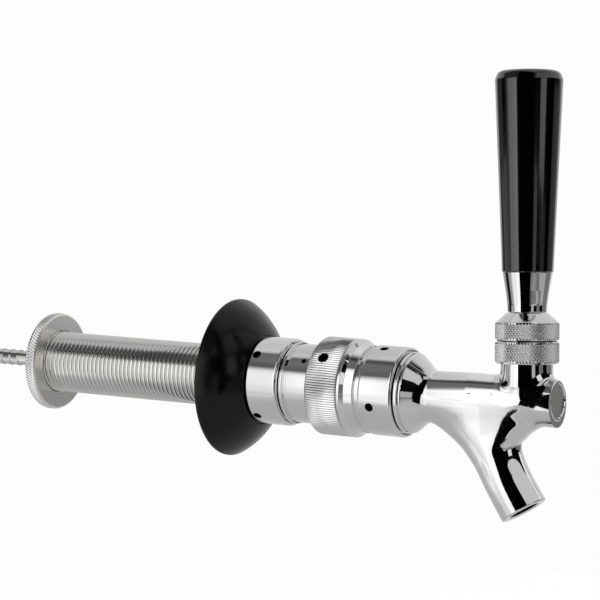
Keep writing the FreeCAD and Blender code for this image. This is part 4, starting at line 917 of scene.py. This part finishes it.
class Casting:
    """The cast faucet as a distance field in its own frame, in millimetres."""

    # Spout sections: place, drop, lean in degrees, half length and half width. The first and
    # the last one only steer the curve, and the spout ends at the one before the last.
    SECTIONS = np.array((
        (-14.05, -1.0, 0.0, 21.9, 6.8),
        (-14.05, 3.5, 0.0, 21.0, 7.2),
        (-14.05, 9.0, 0.0, 18.8, 7.7),
        (-12.2, 15.3, 10.0, 12.1, 7.9),
        (-10.75, 20.4, 25.0, 9.1, 7.9),
        (-6.88, 28.46, 31.0, 8.45, 8.45),
        (-0.7, 38.75, 31.0, 8.45, 8.45),
        (5.48, 49.04, 31.0, 8.45, 8.45),
    ))
    OUTLET = 6
    NOSE, NOSE_RADIUS, NOSE_EDGE = 11.95, 7.1, 0.4
    NECK_TOP = 14.1
    REAR = 75.0
    # Places along an axis and the radii there. The cone's are along the shank.
    BARREL = ((-20.0, NOSE), (8.8, NOSE_RADIUS))
    CONE = ((75.7, 81.2, 83.2), (14.2, 9.3, 7.6))
    NECK = ((0.0, 5.0), (7.0, 9.08))
    # The cone's distance is measured square to the shank, and this makes up for its slope.
    CONE_SLOPE = 0.75
    # Widths of the fillets: at the cone, at the spout by place along the barrel, at the neck.
    CONE_FILLET = 3.0
    SPOUT_FILLET = ((-14.0, 2.0), (9.0, 3.5))
    NECK_FILLET = 4.0
    # The web under the barrel is flat sided, and further down the section is round: drops, and
    # the powers of the section's curve there.
    SQUARENESS = ((5.0, 20.0), (2.8, 2.0))
    # The spout is worked out only below this height, this many points at a time, and elsewhere
    # its distance is taken as far away.
    SPOUT_TOP, SPOUT_PART, FAR_AWAY = 2.0, 20000, 50.0
    # The box that the casting fits in.
    LOW, HIGH = (-46, -16, -46), (16, 16, 17)

    def __init__(self):
        self.to_shank = np.array(faucet_frame())
        knots = np.arange(len(self.SECTIONS))
        fine = np.linspace(1, knots[-2], 260)
        self.track = np.stack([self.curve(fine, column) for column in self.SECTIONS.T], axis=1)

    @staticmethod
    def curve(fine, values):
        """A smooth curve through values at whole numbers."""
        start = np.clip(fine.astype(int), 1, len(values) - 3)
        t = fine - start
        a, b, c, d = (values[start + shift] for shift in (-1, 0, 1, 2))
        return b + 0.5 * t * (c - a + t * (2 * a - 5 * b + 4 * c - d + t * (3 * (b - c) + d - a)))

    def barrel(self, p):
        return np.hypot(p[:, 1], p[:, 2]) - np.interp(p[:, 0], *self.BARREL)

    def cone(self, p):
        at = p @ self.to_shank[:3, :3].T + self.to_shank[:3, 3]
        return (np.hypot(at[:, 1], at[:, 2]) - np.interp(at[:, 0], *self.CONE)) * self.CONE_SLOPE

    def neck(self, p):
        radius = np.interp(p[:, 2], *self.NECK)
        return np.maximum(np.hypot(p[:, 0], p[:, 1]) - radius, -p[:, 2])

    def spout(self, p):
        """Distance to the spout: the section that a point lies in is found along the track."""
        result = np.full(len(p), self.FAR_AWAY)
        below = np.flatnonzero(p[:, 2] < self.SPOUT_TOP)
        for part in np.array_split(below, max(1, len(below) // self.SPOUT_PART)):
            q = p[part]
            x, drop, lean, half, width = self.track.T
            lean = np.radians(lean)
            ahead = (q[:, :1] - x) * np.sin(lean) - (q[:, 2:] + drop) * np.cos(lean)
            passed = np.clip((ahead > 0).sum(axis=1) - 1, 0, len(x) - 2)
            rows = np.arange(len(q))
            now, then = ahead[rows, passed], ahead[rows, passed + 1]
            share = np.clip(now / np.maximum(now - then, 1e-6), 0, 1)
            here = self.track[passed] * (1 - share[:, None])
            here += self.track[passed + 1] * share[:, None]
            lean = np.radians(here[:, 2])
            run = (q[:, 0] - here[:, 0]) * np.cos(lean) + (q[:, 2] + here[:, 1]) * np.sin(lean)
            a, b = here[:, 3], here[:, 4]
            power = np.interp(here[:, 1], *self.SQUARENESS)
            u, v = np.abs(run / a), np.abs(q[:, 1] / b)
            near = np.maximum((u ** power + v ** power) ** (1 / power), 1e-6)
            steep = np.maximum(np.hypot(u ** (power - 1) / a, v ** (power - 1) / b), 1e-6)
            distance = near ** (power - 1) * (near - 1) / steep
            result[part] = np.where(passed == 0, np.maximum(distance, -now), distance)
        return result

    def __call__(self, p):
        field = blended(self.barrel(p), self.cone(p), self.CONE_FILLET)
        field = blended(field, self.spout(p), np.interp(p[:, 0], *self.SPOUT_FILLET))
        return blended(field, self.neck(p), self.NECK_FILLET)

    def gradient(self, p, step=0.01):
        """How fast the field grows along each axis."""
        columns = []
        for axis in range(3):
            move = np.zeros(3)
            move[axis] = step
            columns.append((self(p + move) - self(p - move)) / (2 * step))
        return np.stack(columns, axis=1)


def skinned(field, low, high, step):
    """Points and outward four-sided faces of a field's surface, found on a grid.

    Each grid cell that the surface passes through has one point, the mean of where the surface
    crosses the cell's edges, and each crossed grid edge gets a face from its four cells.
    """
    axes = [np.arange(a, b + step, step) for a, b in zip(low, high)]
    shape = tuple(len(axis) for axis in axes)
    grid = np.stack(np.meshgrid(*axes, indexing="ij"), axis=-1).reshape(-1, 3)
    values = field(grid).reshape(shape)
    inside = values < 0
    cells = tuple(n - 1 for n in shape)
    number = np.full(cells, -1)
    total = np.zeros((*cells, 3))
    hits = np.zeros(cells)
    for axis in range(3):
        others = [a for a in range(3) if a != axis]
        for u in (0, 1):
            for v in (0, 1):
                near, far = [slice(None, -1)] * 3, [slice(None, -1)] * 3
                far[axis] = slice(1, None)
                for other, shift in zip(others, (u, v)):
                    near[other] = far[other] = slice(1, None) if shift else slice(None, -1)
                a, b = values[tuple(near)], values[tuple(far)]
                crossed = (a < 0) != (b < 0)
                share = np.where(crossed, a / np.where(crossed, a - b, 1), 0)
                offset = np.zeros((*cells, 3))
                offset[..., axis] = share
                offset[..., others[0]] = u
                offset[..., others[1]] = v
                total += offset * crossed[..., None]
                hits += crossed
    used = hits > 0
    number[used] = np.arange(used.sum())
    corner = np.stack(np.meshgrid(*[axis[:-1] for axis in axes], indexing="ij"), axis=-1)
    points = (corner + total / np.maximum(hits, 1)[..., None] * step)[used]
    faces = []
    for axis in range(3):
        one, two = [a for a in range(3) if a != axis]
        near, far = [slice(1, -1)] * 3, [slice(1, -1)] * 3
        near[axis] = slice(0, -1)
        far[axis] = slice(1, None)
        a, b = inside[tuple(near)], inside[tuple(far)]
        spots = np.argwhere(a != b)
        outward = a[a != b]
        spots[:, one] += 1
        spots[:, two] += 1
        back_one, back_two = np.zeros(3, int), np.zeros(3, int)
        back_one[one] = back_two[two] = 1
        ring = [spots, spots - back_one, spots - back_one - back_two, spots - back_two]
        quads = np.stack([number[tuple(s.T)] for s in ring], axis=1)
        # Round Y, the other two axes follow each other the other way.
        flip = outward if axis != 1 else ~outward
        quads[~flip] = quads[~flip][:, ::-1]
        faces.append(quads)
    return points, np.concatenate(faces)


def settle_on(field, points, rounds=4):
    """Move points onto the field's surface, along its slope."""
    for _ in range(rounds):
        slope = field.gradient(points)
        steep = np.maximum((slope ** 2).sum(axis=1), 1e-6)
        points = points - slope * (field(points) / steep)[:, None]
    return points


class TAP_OT_faucet(bpy.types.Operator):
    """Make the cast faucet with its shoulder rings"""

    bl_idname = "tap.faucet"
    bl_label = "Faucet Casting"

    # What an opening cuts off lies within these distances of its middle and of its axis.
    FAR, WIDE = 30.0, 16.0

    def execute(self, context):
        self.make_shoulder()
        self.make_casting(context.scene.tap_sizes.skin_step / MM)
        return {"FINISHED"}

    def make_shoulder(self):
        """The coupling thread, the two shoulder rings and the groove between them."""
        rear = reach("faucet_body")[0]
        shoulder = reach("coupling_nut_front")[1] + 0.3
        ring_front = shoulder + 1.5
        lip = ring_front + 0.4
        front = lip + 0.8
        hollow = front - 3.0
        bore, thread, ring, groove, lip_radius, root = 7.0, 11.375, 14.6, 13.8, 14.25, 12.5
        turned("faucet_shoulder", [
            (rear, bore), (rear, thread, 0.3), (shoulder, thread), (shoulder, ring, 0.35),
            (ring_front, ring, 0.35), (ring_front, groove), (lip, groove),
            (lip, lip_radius, 0.2), (front, lip_radius, 0.25), (front, root), (hollow, root),
            (hollow, bore),
        ], "chrome", ("tap", "chrome"), turns=192)

    def make_casting(self, step):
        """The skin of the distance field, opened at its four ends."""
        field = Casting()
        points, faces = skinned(field, field.LOW, field.HIGH, step)
        points = settle_on(field, points)
        build = bmesh.new()
        vertices = [build.verts.new(point) for point in points]
        for face in faces:
            build.faces.new([vertices[corner] for corner in face])
        build.normal_update()
        cast = build.faces.layers.int.new("cast")
        for face in build.faces:
            face[cast] = 1
        for plane in self.openings(field):
            self.open_end(build, cast, *plane)
        mesh = bpy.data.meshes.new("faucet_casting")
        build.to_mesh(mesh)
        build.free()
        self.shade(mesh, field)
        mesh.transform(Matrix.Scale(MM, 4) @ faucet_frame())
        piece = add_object("faucet_casting", mesh, "chrome")
        hand_over(piece, "tap", "chrome", "faucet_body")

    def openings(self, field):
        """Each end of the casting: a place, an outward direction and the steps of its rim."""
        edge = field.NOSE_EDGE
        x, drop, lean, half, _ = field.SECTIONS[field.OUTLET]
        lean = math.radians(lean)
        down = Vector((math.sin(lean), 0, -math.cos(lean)))
        outlet = Vector((x, 0, -drop))
        nose_bore, nose_mouth, outlet_bore, outlet_mouth = 5.8, 6.15, 5.6, 6.0
        bowl, chamber, inlet = 7.58, 6.4, 7.8
        to_faucet = faucet_frame().inverted()
        rear_place = to_faucet @ Vector((field.REAR, 0, 0))
        rear_way = to_faucet.to_3x3() @ Vector((-1, 0, 0))
        round_off = [(math.sin(a) * edge, (1 - math.cos(a)) * edge)
                     for a in (math.radians(22.5 * i) for i in range(1, 5))]
        nose_rim = [(out, field.NOSE_RADIUS - into) for out, into in round_off]
        outlet_rim = [(out, half - into) for out, into in round_off]
        return (
            (Vector((field.NOSE - edge, 0, 0)), Vector((1, 0, 0)), nose_rim + [
                (edge, nose_mouth), (edge - 0.35, nose_bore), (-30.0, nose_bore)]),
            (outlet - down * edge, down, outlet_rim + [
                (edge, outlet_mouth), (edge - 0.4, outlet_bore), (-24.0, outlet_bore)]),
            (Vector((0, 0, field.NECK_TOP)), Vector((0, 0, 1)), [
                (0.0, bowl), (-2.6, bowl), (-2.6, chamber), (-12.0, chamber)]),
            # Deep and wide enough for the seat washer, also where the lever has pushed it back.
            (rear_place, rear_way, [(0.0, inlet), (-10.4, inlet)]),
        )

    def open_end(self, build, cast, place, way, steps):
        """Cut the skin at a plane and fold its edge inwards along the steps of a turned rim."""
        geometry = build.verts[:] + build.edges[:] + build.faces[:]
        bmesh.ops.bisect_plane(
            build, geom=geometry, plane_co=place, plane_no=way, clear_outer=False, dist=1e-5)
        beyond = [v for v in build.verts
                  if 1e-4 < (v.co - place).dot(way) and (v.co - place).length < self.FAR
                  and self.belongs(v.co, place, way)]
        bmesh.ops.delete(build, geom=beyond, context="VERTS")
        edges = [e for e in build.edges if e.is_boundary
                 and all(abs((v.co - place).dot(way)) < 1e-3 for v in e.verts)]
        for out, radius in steps:
            grown_edges = bmesh.ops.extrude_edge_only(build, edges=edges)
            verts = [g for g in grown_edges["geom"] if isinstance(g, bmesh.types.BMVert)]
            for face in (g for g in grown_edges["geom"] if isinstance(g, bmesh.types.BMFace)):
                face[cast] = 0
            for vertex in verts:
                ray = vertex.co - place
                ray -= way * ray.dot(way)
                vertex.co = place + way * out + ray.normalized() * radius
            edges = [g for g in grown_edges["geom"] if isinstance(g, bmesh.types.BMEdge)
                     and g.is_boundary]
        closing = bmesh.ops.edgeloop_fill(build, edges=edges)
        for face in closing["faces"]:
            face[cast] = 0
        bmesh.ops.recalc_face_normals(build, faces=build.faces[:])

    def belongs(self, spot, place, way):
        """True for a point near an opening's own axis."""
        ray = spot - place
        return (ray - way * ray.dot(way)).length < self.WIDE

    def shade(self, mesh, field):
        """Exact normals on the cast skin, and plain ones on the rims."""
        smooth_by_angle(mesh, 35)
        normals = read(mesh.corner_normals, "vector", 3)
        slope = field.gradient(read(mesh.vertices, "co", 3))
        slope /= np.linalg.norm(slope, axis=1)[:, None]
        owner = read(mesh.loops, "vertex_index", kind=int)
        flags = read(mesh.attributes["cast"].data, "value", kind=int)
        sizes = read(mesh.polygons, "loop_total", kind=int)
        on_skin = np.repeat(flags, sizes) == 1
        normals[on_skin] = slope[owner[on_skin]]
        mesh.normals_split_custom_set([tuple(normal) for normal in normals])


class TAP_OT_lever(bpy.types.Operator):
    """Make the bonnet, the lever collar, the ferrule and the handle"""

    bl_idname = "tap.lever"
    bl_label = "Bonnet, Ferrule and Handle"

    def execute(self, context):
        sizes = context.scene.tap_sizes
        matrix = lever_frame()
        pivot = sizes.pivot_height / MM
        radius = 11.25
        base = radius - sizes.knurl_depth / MM
        # The bonnet is screwed on the neck, and the pivot ball lies in its bowl.
        bottom, top, bowl_low, bowl_high = pivot - 2.6, pivot + 5.3, pivot - 1.08, pivot + 3.35
        thread, bowl, mouth = 9.1, 7.58, 5.6
        turned("bonnet_shell", [
            (bottom, thread), (bottom, base - 0.5, 0.2), (bottom + 0.5, base),
            (top - 0.5, base), (top, base - 0.4, 0.2), (top + 3.2, 8.0, 0.5),
            (bowl_high, mouth), (bowl_high, bowl), (bowl_low, bowl), (bowl_low, thread),
        ], "chrome", ("tap", "chrome", "bonnet"), matrix, turns=192)
        knurled("bonnet_knurl", bottom + 0.35, top - 0.35, radius, "tap", matrix)
        # The collar is hollow below, in a sphere round the pivot, so that it swings clear.
        low = top + 0.25
        shoulder = low + 6.25
        collar_top = shoulder + 3.2
        swing, stud = 12.38, 4.78
        hollow = [(pivot + math.sqrt(swing ** 2 - r ** 2), r, 0.5) for r in (stud, 6.5, 8.2, 9.8)]
        turned("lever_collar_shell", [
            (low, base - 0.25, 0.1), (low + 0.3, base), (shoulder - 0.2, base, 0.1),
            (shoulder, base - 0.1, 0.1), (collar_top, 7.3, 0.3), (collar_top, stud), *hollow,
            (low, 10.7),
        ], "chrome", ("lever_set", "chrome", "lever_collar"), matrix, turns=192)
        knurled("lever_collar_knurl", low + 0.15, shoulder - 0.1, radius, "lever_set", matrix)
        self.make_grip(matrix, collar_top + 0.1, stud)
        return {"FINISHED"}

    def make_grip(self, matrix, foot, stud):
        """The waisted ferrule, with a stud that the tapered handle is screwed on."""
        foot_top = foot + 2.7
        waist = foot_top + 5.0
        top = waist + 6.4
        socket, stud_end, screw = foot + 11.6, top + 14.3, 4.0
        turned("ferrule_shell", [
            (foot, stud), (foot, 6.85, 0.5), (foot_top, 6.95, 14.0), (waist, 7.65, 14.0),
            (top, 8.7, 0.2), (top, screw), (stud_end, screw), (stud_end, 0.0), (socket, 0.0),
            (socket, stud),
        ], "chrome", ("lever_set", "chrome", "ferrule"), matrix, turns=192)
        bottom, widest, end, hole_end = top + 0.02, top + 66.7, top + 69.9, top + 14.4
        turned("handle_grip", [
            (bottom, screw + 0.02), (bottom, 8.95, 0.35), (widest, 11.9, 1.0),
            (end, 10.7, 3.2), (end, 0.0), (hole_end, 0.0), (hole_end, screw + 0.02),
        ], "phenolic", ("lever_set", "black_plastic", "handle"), matrix, turns=192)


class TAP_OT_frame_finishes(bpy.types.Operator):
    """Give the pieces that stay as the frame has them their real finishes"""

    bl_idname = "tap.frame_finishes"
    bl_label = "Frame Finishes"

    def execute(self, context):
        slots = {row["node"]: row["material_slot"] for row in frame["record"]["subparts"]}
        for node, piece in frame["nodes"].items():
            for place in piece.material_slots:
                place.material = material(slots[node])
        return {"FINISHED"}


def facing(azimuth, elevation):
    """A direction from the tap: azimuth from -Y towards +X, elevation above the horizon."""
    return Vector((
        math.sin(azimuth) * math.cos(elevation),
        -math.cos(azimuth) * math.cos(elevation),
        math.sin(elevation)))


class TAP_OT_stage(bpy.types.Operator):
    """Make the camera, the floor and the studio lights"""

    bl_idname = "tap.stage"
    bl_label = "Studio"

    # A silk bent to a tube round the shank's axis. The first row is places along X in metres;
    # each further row is an angle from the front over the top, in degrees, and the brightness
    # at those places. The dim rows are the dark bands in the chrome.
    SILK_RADIUS = 0.35
    SILK = (
        (-0.65, -0.45, -0.3, -0.24, -0.19, -0.165, -0.14, -0.11, -0.095, -0.06, -0.02, 0.02,
         0.12, 0.22, 0.27),
        (-40, 0.15, 0.4, 0.85, 0.7, 0.55, 0.55, 0.55, 0.55, 0.55, 0.7, 0.7, 0.5, 0.4, 0.4, 0),
        (-33, 0.2, 0.6, 1.0, 0.9, 0.65, 0.62, 0.62, 0.64, 0.66, 0.9, 0.9, 0.7, 0.6, 0.6, 0),
        (-25, 0.25, 0.6, 1.0, 0.95, 0.8, 0.8, 0.85, 0.95, 1.0, 1.15, 1.1, 0.9, 0.8, 0.8, 0),
        (-14, 0.3, 0.6, 1.0, 1.1, 0.9, 0.87, 0.95, 1.05, 1.0, 1.2, 1.0, 1.0, 0.85, 0.85, 0),
        (-4, 0.2, 0.3, 0.95, 1.25, 1.0, 0.95, 1.15, 1.25, 1.1, 1.4, 1.4, 1.2, 0.95, 0.95, 0),
        (20, 0.05, 0.12, 0.8, 1.25, 1.0, 0.95, 1.15, 1.25, 1.05, 1.4, 1.4, 1.2, 0.98, 0.98, 0),
        (27, 0.05, 0.12, 0.8, 1.1, 0.85, 0.85, 0.95, 1.0, 0.9, 1.4, 1.4, 1.2, 0.95, 0.95, 0),
        (34, 0.05, 0.12, 0.4, 0.3, 0.35, 0.35, 0.35, 0.4, 0.45, 1.3, 1.35, 1.1, 0.5, 0.5, 0),
        (38, 0.05, 0.12, 0.2, 0.08, 0.11, 0.11, 0.12, 0.12, 0.12, 0.9, 1.3, 1.0, 0.3, 0.12, 0),
        (47, 0.05, 0.1, 0.08, 0.06, 0.11, 0.12, 0.13, 0.13, 0.13, 0.3, 1.0, 0.8, 0.2, 0.12, 0),
        (52, 0.05, 0.1, 0.08, 0.07, 0.14, 0.17, 0.15, 0.15, 0.15, 0.18, 0.12, 0.1, 0.15, 0.18, 0),
        (68, 0.05, 0.1, 0.1, 0.08, 0.14, 0.16, 0.16, 0.16, 0.15, 0.15, 0.15, 0.1, 0.1, 0.1, 0),
        (76, 0.1, 0.1, 0.1, 0.1, 0.14, 0.15, 0.1, 0.08, 0.06, 0.02, 0.05, 0.05, 0.3, 0.6, 0.1),
        (81, 0.5, 0.5, 0.4, 0.4, 0.5, 0.5, 0.3, 0.15, 0.1, 0.02, 0.1, 0.1, 0.5, 0.6, 0.1),
        (88, 0.65, 0.65, 0.6, 0.6, 0.67, 0.67, 0.6, 0.6, 0.6, 0.3, 0.5, 0.5, 0.6, 0.6, 0.1),
        (95, 0.6, 0.6, 0.5, 0.5, 0.6, 0.6, 0.55, 0.58, 0.64, 0.7, 0.75, 0.7, 0.6, 0.6, 0.1),
        (110, 0.6, 0.6, 0.5, 0.5, 0.6, 0.6, 0.5, 0.55, 0.58, 0.75, 0.75, 0.7, 0.6, 0.6, 0.1),
        (180, 0.7, 0.7, 0.7, 0.7, 0.75, 0.75, 0.7, 0.68, 0.66, 0.8, 0.8, 0.75, 0.7, 0.7, 0.1),
    )
    # A black flag close in front of the faucet, across the silk: its place along Y, then height
    # and the places of its two edges along X, in metres.
    FLAG_Y = -0.08
    FLAG = ((-0.05, 0.101, 0.175), (0.25, 0.078, 0.175))
    # Painted light on the floor, seen in the tap's shine: places along X, then rows of a place
    # along Y and the brightness there, which stands in for how the lamps light the floor.
    FLOOR = (
        (-1.8, -0.9, -0.6, -0.3, -0.2, -0.1, 0.05, 0.15, 0.3, 0.5, 0.75, 1.1),
        (-1.2, 0.1, 0.1, 0.2, 0.2, 0.1, 0.0, 0.0, 0.0, 0.0, 0.0, 0.0, 0.1),
        (-0.65, 0.1, 0.2, 0.4, 0.6, 0.4, 0.1, 0.0, 0.0, 0.0, 0.0, 0.12, 0.15),
        (-0.48, 0.1, 0.2, 0.5, 0.9, 0.7, 0.4, 0.3, 0.3, 0.35, 0.4, 0.35, 0.15),
        (-0.27, 0.1, 0.2, 0.55, 1.05, 0.8, 0.55, 0.5, 0.45, 0.45, 0.5, 0.35, 0.12),
        (-0.18, 0.1, 0.2, 0.55, 1.0, 0.65, 0.48, 0.48, 0.48, 0.5, 0.5, 0.3, 0.12),
        (-0.1, 0.1, 0.2, 0.4, 0.7, 0.5, 0.45, 0.45, 0.48, 0.5, 0.5, 0.3, 0.14),
        (0.05, 0.1, 0.15, 0.3, 0.48, 0.46, 0.44, 0.44, 0.46, 0.48, 0.5, 0.25, 0.14),
        (0.2, 0.1, 0.12, 0.3, 0.5, 0.5, 0.5, 0.5, 0.5, 0.5, 0.45, 0.25, 0.14),
        (0.4, 0.1, 0.12, 0.3, 0.6, 0.6, 0.6, 0.6, 0.6, 0.6, 0.4, 0.25, 0.14),
        (0.9, 0.1, 0.12, 0.3, 0.6, 0.8, 0.8, 0.8, 0.7, 0.6, 0.4, 0.3, 0.2),
    )
    # Cards on a sphere round the tap, whose radius is in metres: name, azimuths from the
    # camera's and elevations, in degrees, and brightness.
    CARD_DISTANCE = 1.3
    CARDS = (
        ("left_low_card", (-112, -84), (-14, 0), 0.4),
        ("left_far_card", (-125, -110), (0, 40), 0.12),
        ("left_back_card", (-180, -125), (-14, 40), 0.1),
        ("right_strip", (20, 33), (-14, 3.3), 0.45),
        ("right_dim_card", (50, 68), (-14, 3.3), 0.16),
        ("right_low_card", (88, 135), (-14, 8), 0.18),
        ("right_box", (37, 56), (3.4, 24), 0.8),
        ("right_back_card", (105, 140), (12, 28), 0.9),
        ("right_arch", (16, 125), (28, 50), 0.6),
    )
    # The paper's brightness in the tap's shine, the share of plain white in the camera's view
    # of it, the rest being lit and shadowed, and the room's faint glow.
    PAPER_SHINE, PAPER_WHITE, ROOM_GLOW = 0.4, 0.97, 0.002

    def execute(self, context):
        studio = context.scene.tap_studio
        self.make_camera(context, studio)
        self.make_paper(studio)
        self.make_silk()
        self.make_flag()
        self.make_painted_floor_light(studio)
        for card in self.CARDS:
            self.make_card(studio, *card)
        self.make_world(context)
        context.scene.view_settings.view_transform = "Standard"
        return {"FINISHED"}

    def make_camera(self, context, studio):
        back = facing(studio.azimuth, studio.elevation)
        level = Vector((math.cos(studio.azimuth), math.sin(studio.azimuth), 0))
        up = back.cross(level)
        right = level * math.cos(studio.roll) + up * math.sin(studio.roll)
        up = back.cross(right)
        camera = bpy.data.objects.new("camera", bpy.data.cameras.new("camera"))
        context.scene.collection.objects.link(camera)
        matrix = Matrix((right, up, back)).transposed().to_4x4()
        matrix.translation = Vector(studio.aim) + back * studio.distance
        camera.matrix_world = matrix
        camera.data.lens = studio.lens
        camera.data.sensor_width = 36.0
        camera.data.clip_start = 0.01
        context.scene.camera = camera

    def make_paper(self, studio):
        """White paper: a floor that curves up behind the tap."""
        finish, nodes, output = new_material("seamless_paper")
        rays = add_node(nodes, "ShaderNodeLightPath")
        colour = linear(bpy.context.scene.tap_colours.paper)
        strength = add_node(nodes, "ShaderNodeMix", {
            0: rays.outputs["Is Camera Ray"], 2: self.PAPER_SHINE, 3: 1.0})
        seen = add_node(nodes, "ShaderNodeMath", {
            0: rays.outputs["Is Camera Ray"], 1: self.PAPER_WHITE,
            2: rays.outputs["Is Glossy Ray"]}, operation="MULTIPLY_ADD")
        lit = add_node(nodes, "ShaderNodeBsdfDiffuse", {"Color": colour})
        glow = add_node(nodes, "ShaderNodeEmission", {
            "Color": colour, "Strength": strength.outputs[0]})
        mixed = add_node(nodes, "ShaderNodeMixShader", {
            0: seen.outputs[0], 1: lit.outputs[0], 2: glow.outputs[0]})
        nodes.links.new(mixed.outputs[0], output.inputs["Surface"])
        floor = -studio.floor_drop
        bend, half_width, front, back, height = 0.35, 2.4, -1.6, 0.9, 1.6
        outline = [(front, floor), (back, floor)]
        for step in range(1, 13):
            angle = math.radians(90 * step / 12)
            outline.append((back + bend * math.sin(angle), floor + bend * (1 - math.cos(angle))))
        outline.append((back + bend, height))
        mesh = bpy.data.meshes.new("studio_paper")
        vertices = [(side * half_width, y, z) for y, z in outline for side in (-1, 1)]
        faces = [(2 * i, 2 * i + 1, 2 * i + 3, 2 * i + 2) for i in range(len(outline) - 1)]
        mesh.from_pydata(vertices, [], faces)
        mesh.polygons.foreach_set("use_smooth", [True] * len(faces))
        mesh.transform(Matrix.Rotation(studio.azimuth, 4, "Z"))
        mesh.materials.append(finish)
        paper = bpy.data.objects.new("studio_paper", mesh)
        bpy.context.scene.collection.objects.link(paper)

    def make_card(self, studio, name, azimuths, elevations, brightness):
        """A reflector on a sphere round the tap."""
        columns = np.radians(np.linspace(*azimuths, 7)) + studio.azimuth
        rows = np.radians(np.linspace(*elevations, 7))
        self.add_card(name, columns, rows, np.full((7, 7), brightness),
                      lambda azimuth, elevation: facing(azimuth, elevation) * self.CARD_DISTANCE)

    def make_silk(self):
        """The bent silk, with its brightness from the table."""
        columns, rows, glow = self.between(self.SILK, 6)
        radius = self.SILK_RADIUS
        self.add_card("bent_silk", columns, np.radians(rows), glow,
                      lambda x, angle: (x, -radius * math.cos(angle), radius * math.sin(angle)))

    def make_flag(self):
        """The black flag, a plain board with one leaning edge."""
        heights, lefts, rights = zip(*self.FLAG)
        self.add_card("black_flag", (0.0, 1.0), heights, np.zeros((2, 2)),
                      lambda share, height: (
                          np.interp(height, heights, lefts) * (1 - share)
                          + np.interp(height, heights, rights) * share, self.FLAG_Y, height))

    def make_painted_floor_light(self, studio):
        """Painted light: a card just above the paper that glows with the floor's light and shade,
        as the tap's shine sees it.
        """
        columns, rows, glow = self.between(self.FLOOR, 6)
        height = 1 * MM - studio.floor_drop
        self.add_card("painted_floor_light", columns, rows, glow, lambda x, y: (x, y, height))

    def between(self, table, parts):
        """A table with further columns and rows put in, evenly and by straight lines."""
        columns, body = np.array(table[0]), np.array(table[1:])
        rows, glow = body[:, 0], body[:, 1:]

        def finer(places):
            steps = np.arange((len(places) - 1) * parts + 1) / parts
            return np.interp(steps, np.arange(len(places)), places)

        wide = np.array([np.interp(finer(columns), columns, row) for row in glow])
        full = np.array([np.interp(finer(rows), rows, column) for column in wide.T]).T
        return finer(columns), finer(rows), full

    def add_card(self, name, columns, rows, glow, place):
        """A grid that glows as its table says, seen only in the tap's shine."""
        vertices = [place(float(u), float(v)) for v in rows for u in columns]
        wide = len(columns)
        faces = [(i, i + 1, i + wide + 1, i + wide)
                 for row in range(len(rows) - 1)
                 for i in range(row * wide, row * wide + wide - 1)]
        mesh = bpy.data.meshes.new(name)
        mesh.from_pydata(vertices, [], faces)
        mesh.attributes.new("glow", "FLOAT", "POINT").data.foreach_set("value", glow.ravel())
        # The material glows as strongly as each point's value says.
        if "studio_glow" not in bpy.data.materials:
            _, nodes, output = new_material("studio_glow")
            value = add_node(nodes, "ShaderNodeAttribute", attribute_name="glow")
            light = add_node(nodes, "ShaderNodeEmission", {"Strength": value.outputs["Fac"]})
            nodes.links.new(light.outputs[0], output.inputs["Surface"])
        mesh.materials.append(bpy.data.materials["studio_glow"])
        card = bpy.data.objects.new(name, mesh)
        card.visible_camera = False
        card.visible_shadow = False
        bpy.context.scene.collection.objects.link(card)

    def make_world(self, context):
        """A dim room, which the camera sees as white."""
        world = bpy.data.worlds.new("studio_room")
        context.scene.world = world
        world.use_nodes = True
        nodes = world.node_tree
        nodes.nodes.clear()
        output = add_node(nodes, "ShaderNodeOutputWorld")
        rays = add_node(nodes, "ShaderNodeLightPath")
        white = (1, 1, 1, 1)
        dim = add_node(nodes, "ShaderNodeBackground", {"Color": white, "Strength": self.ROOM_GLOW})
        bright = add_node(nodes, "ShaderNodeBackground", {"Color": white, "Strength": 1.0})
        mixed = add_node(nodes, "ShaderNodeMixShader", {
            0: rays.outputs["Is Camera Ray"], 1: dim.outputs[0], 2: bright.outputs[0]})
        nodes.links.new(mixed.outputs[0], output.inputs["Surface"])


OPERATORS = (
    TAP_OT_shank, TAP_OT_rear_end, TAP_OT_flange, TAP_OT_couplings, TAP_OT_regulator,
    TAP_OT_faucet, TAP_OT_lever, TAP_OT_frame_finishes, TAP_OT_stage,
)


class TAP_PT_pieces(bpy.types.Panel):
    """Lists the steps that dress the tap"""

    bl_label = "Beer Tap"
    bl_idname = "TAP_PT_pieces"
    bl_space_type = "VIEW_3D"
    bl_region_type = "UI"
    bl_category = "Beer Tap"

    def draw(self, context):
        for step in OPERATORS:
            self.layout.operator(step.bl_idname)


GROUPS = (TapSizes, TapColours, StudioSettings)


def register():
    for kind in (*GROUPS, *OPERATORS, TAP_PT_pieces):
        bpy.utils.register_class(kind)
    bpy.types.Scene.tap_sizes = PointerProperty(type=TapSizes)
    bpy.types.Scene.tap_colours = PointerProperty(type=TapColours)
    bpy.types.Scene.tap_studio = PointerProperty(type=StudioSettings)


def unregister():
    del bpy.types.Scene.tap_studio
    del bpy.types.Scene.tap_colours
    del bpy.types.Scene.tap_sizes
    for kind in reversed((*GROUPS, *OPERATORS, TAP_PT_pieces)):
        bpy.utils.unregister_class(kind)


def main():
    register()
    bpy.ops.tap.shank()
    bpy.ops.tap.rear_end()
    bpy.ops.tap.flange()
    bpy.ops.tap.couplings()
    bpy.ops.tap.regulator()
    bpy.ops.tap.faucet()
    bpy.ops.tap.lever()
    bpy.ops.tap.frame_finishes()
    bpy.ops.tap.stage()


if __name__ == "__main__":
    main()
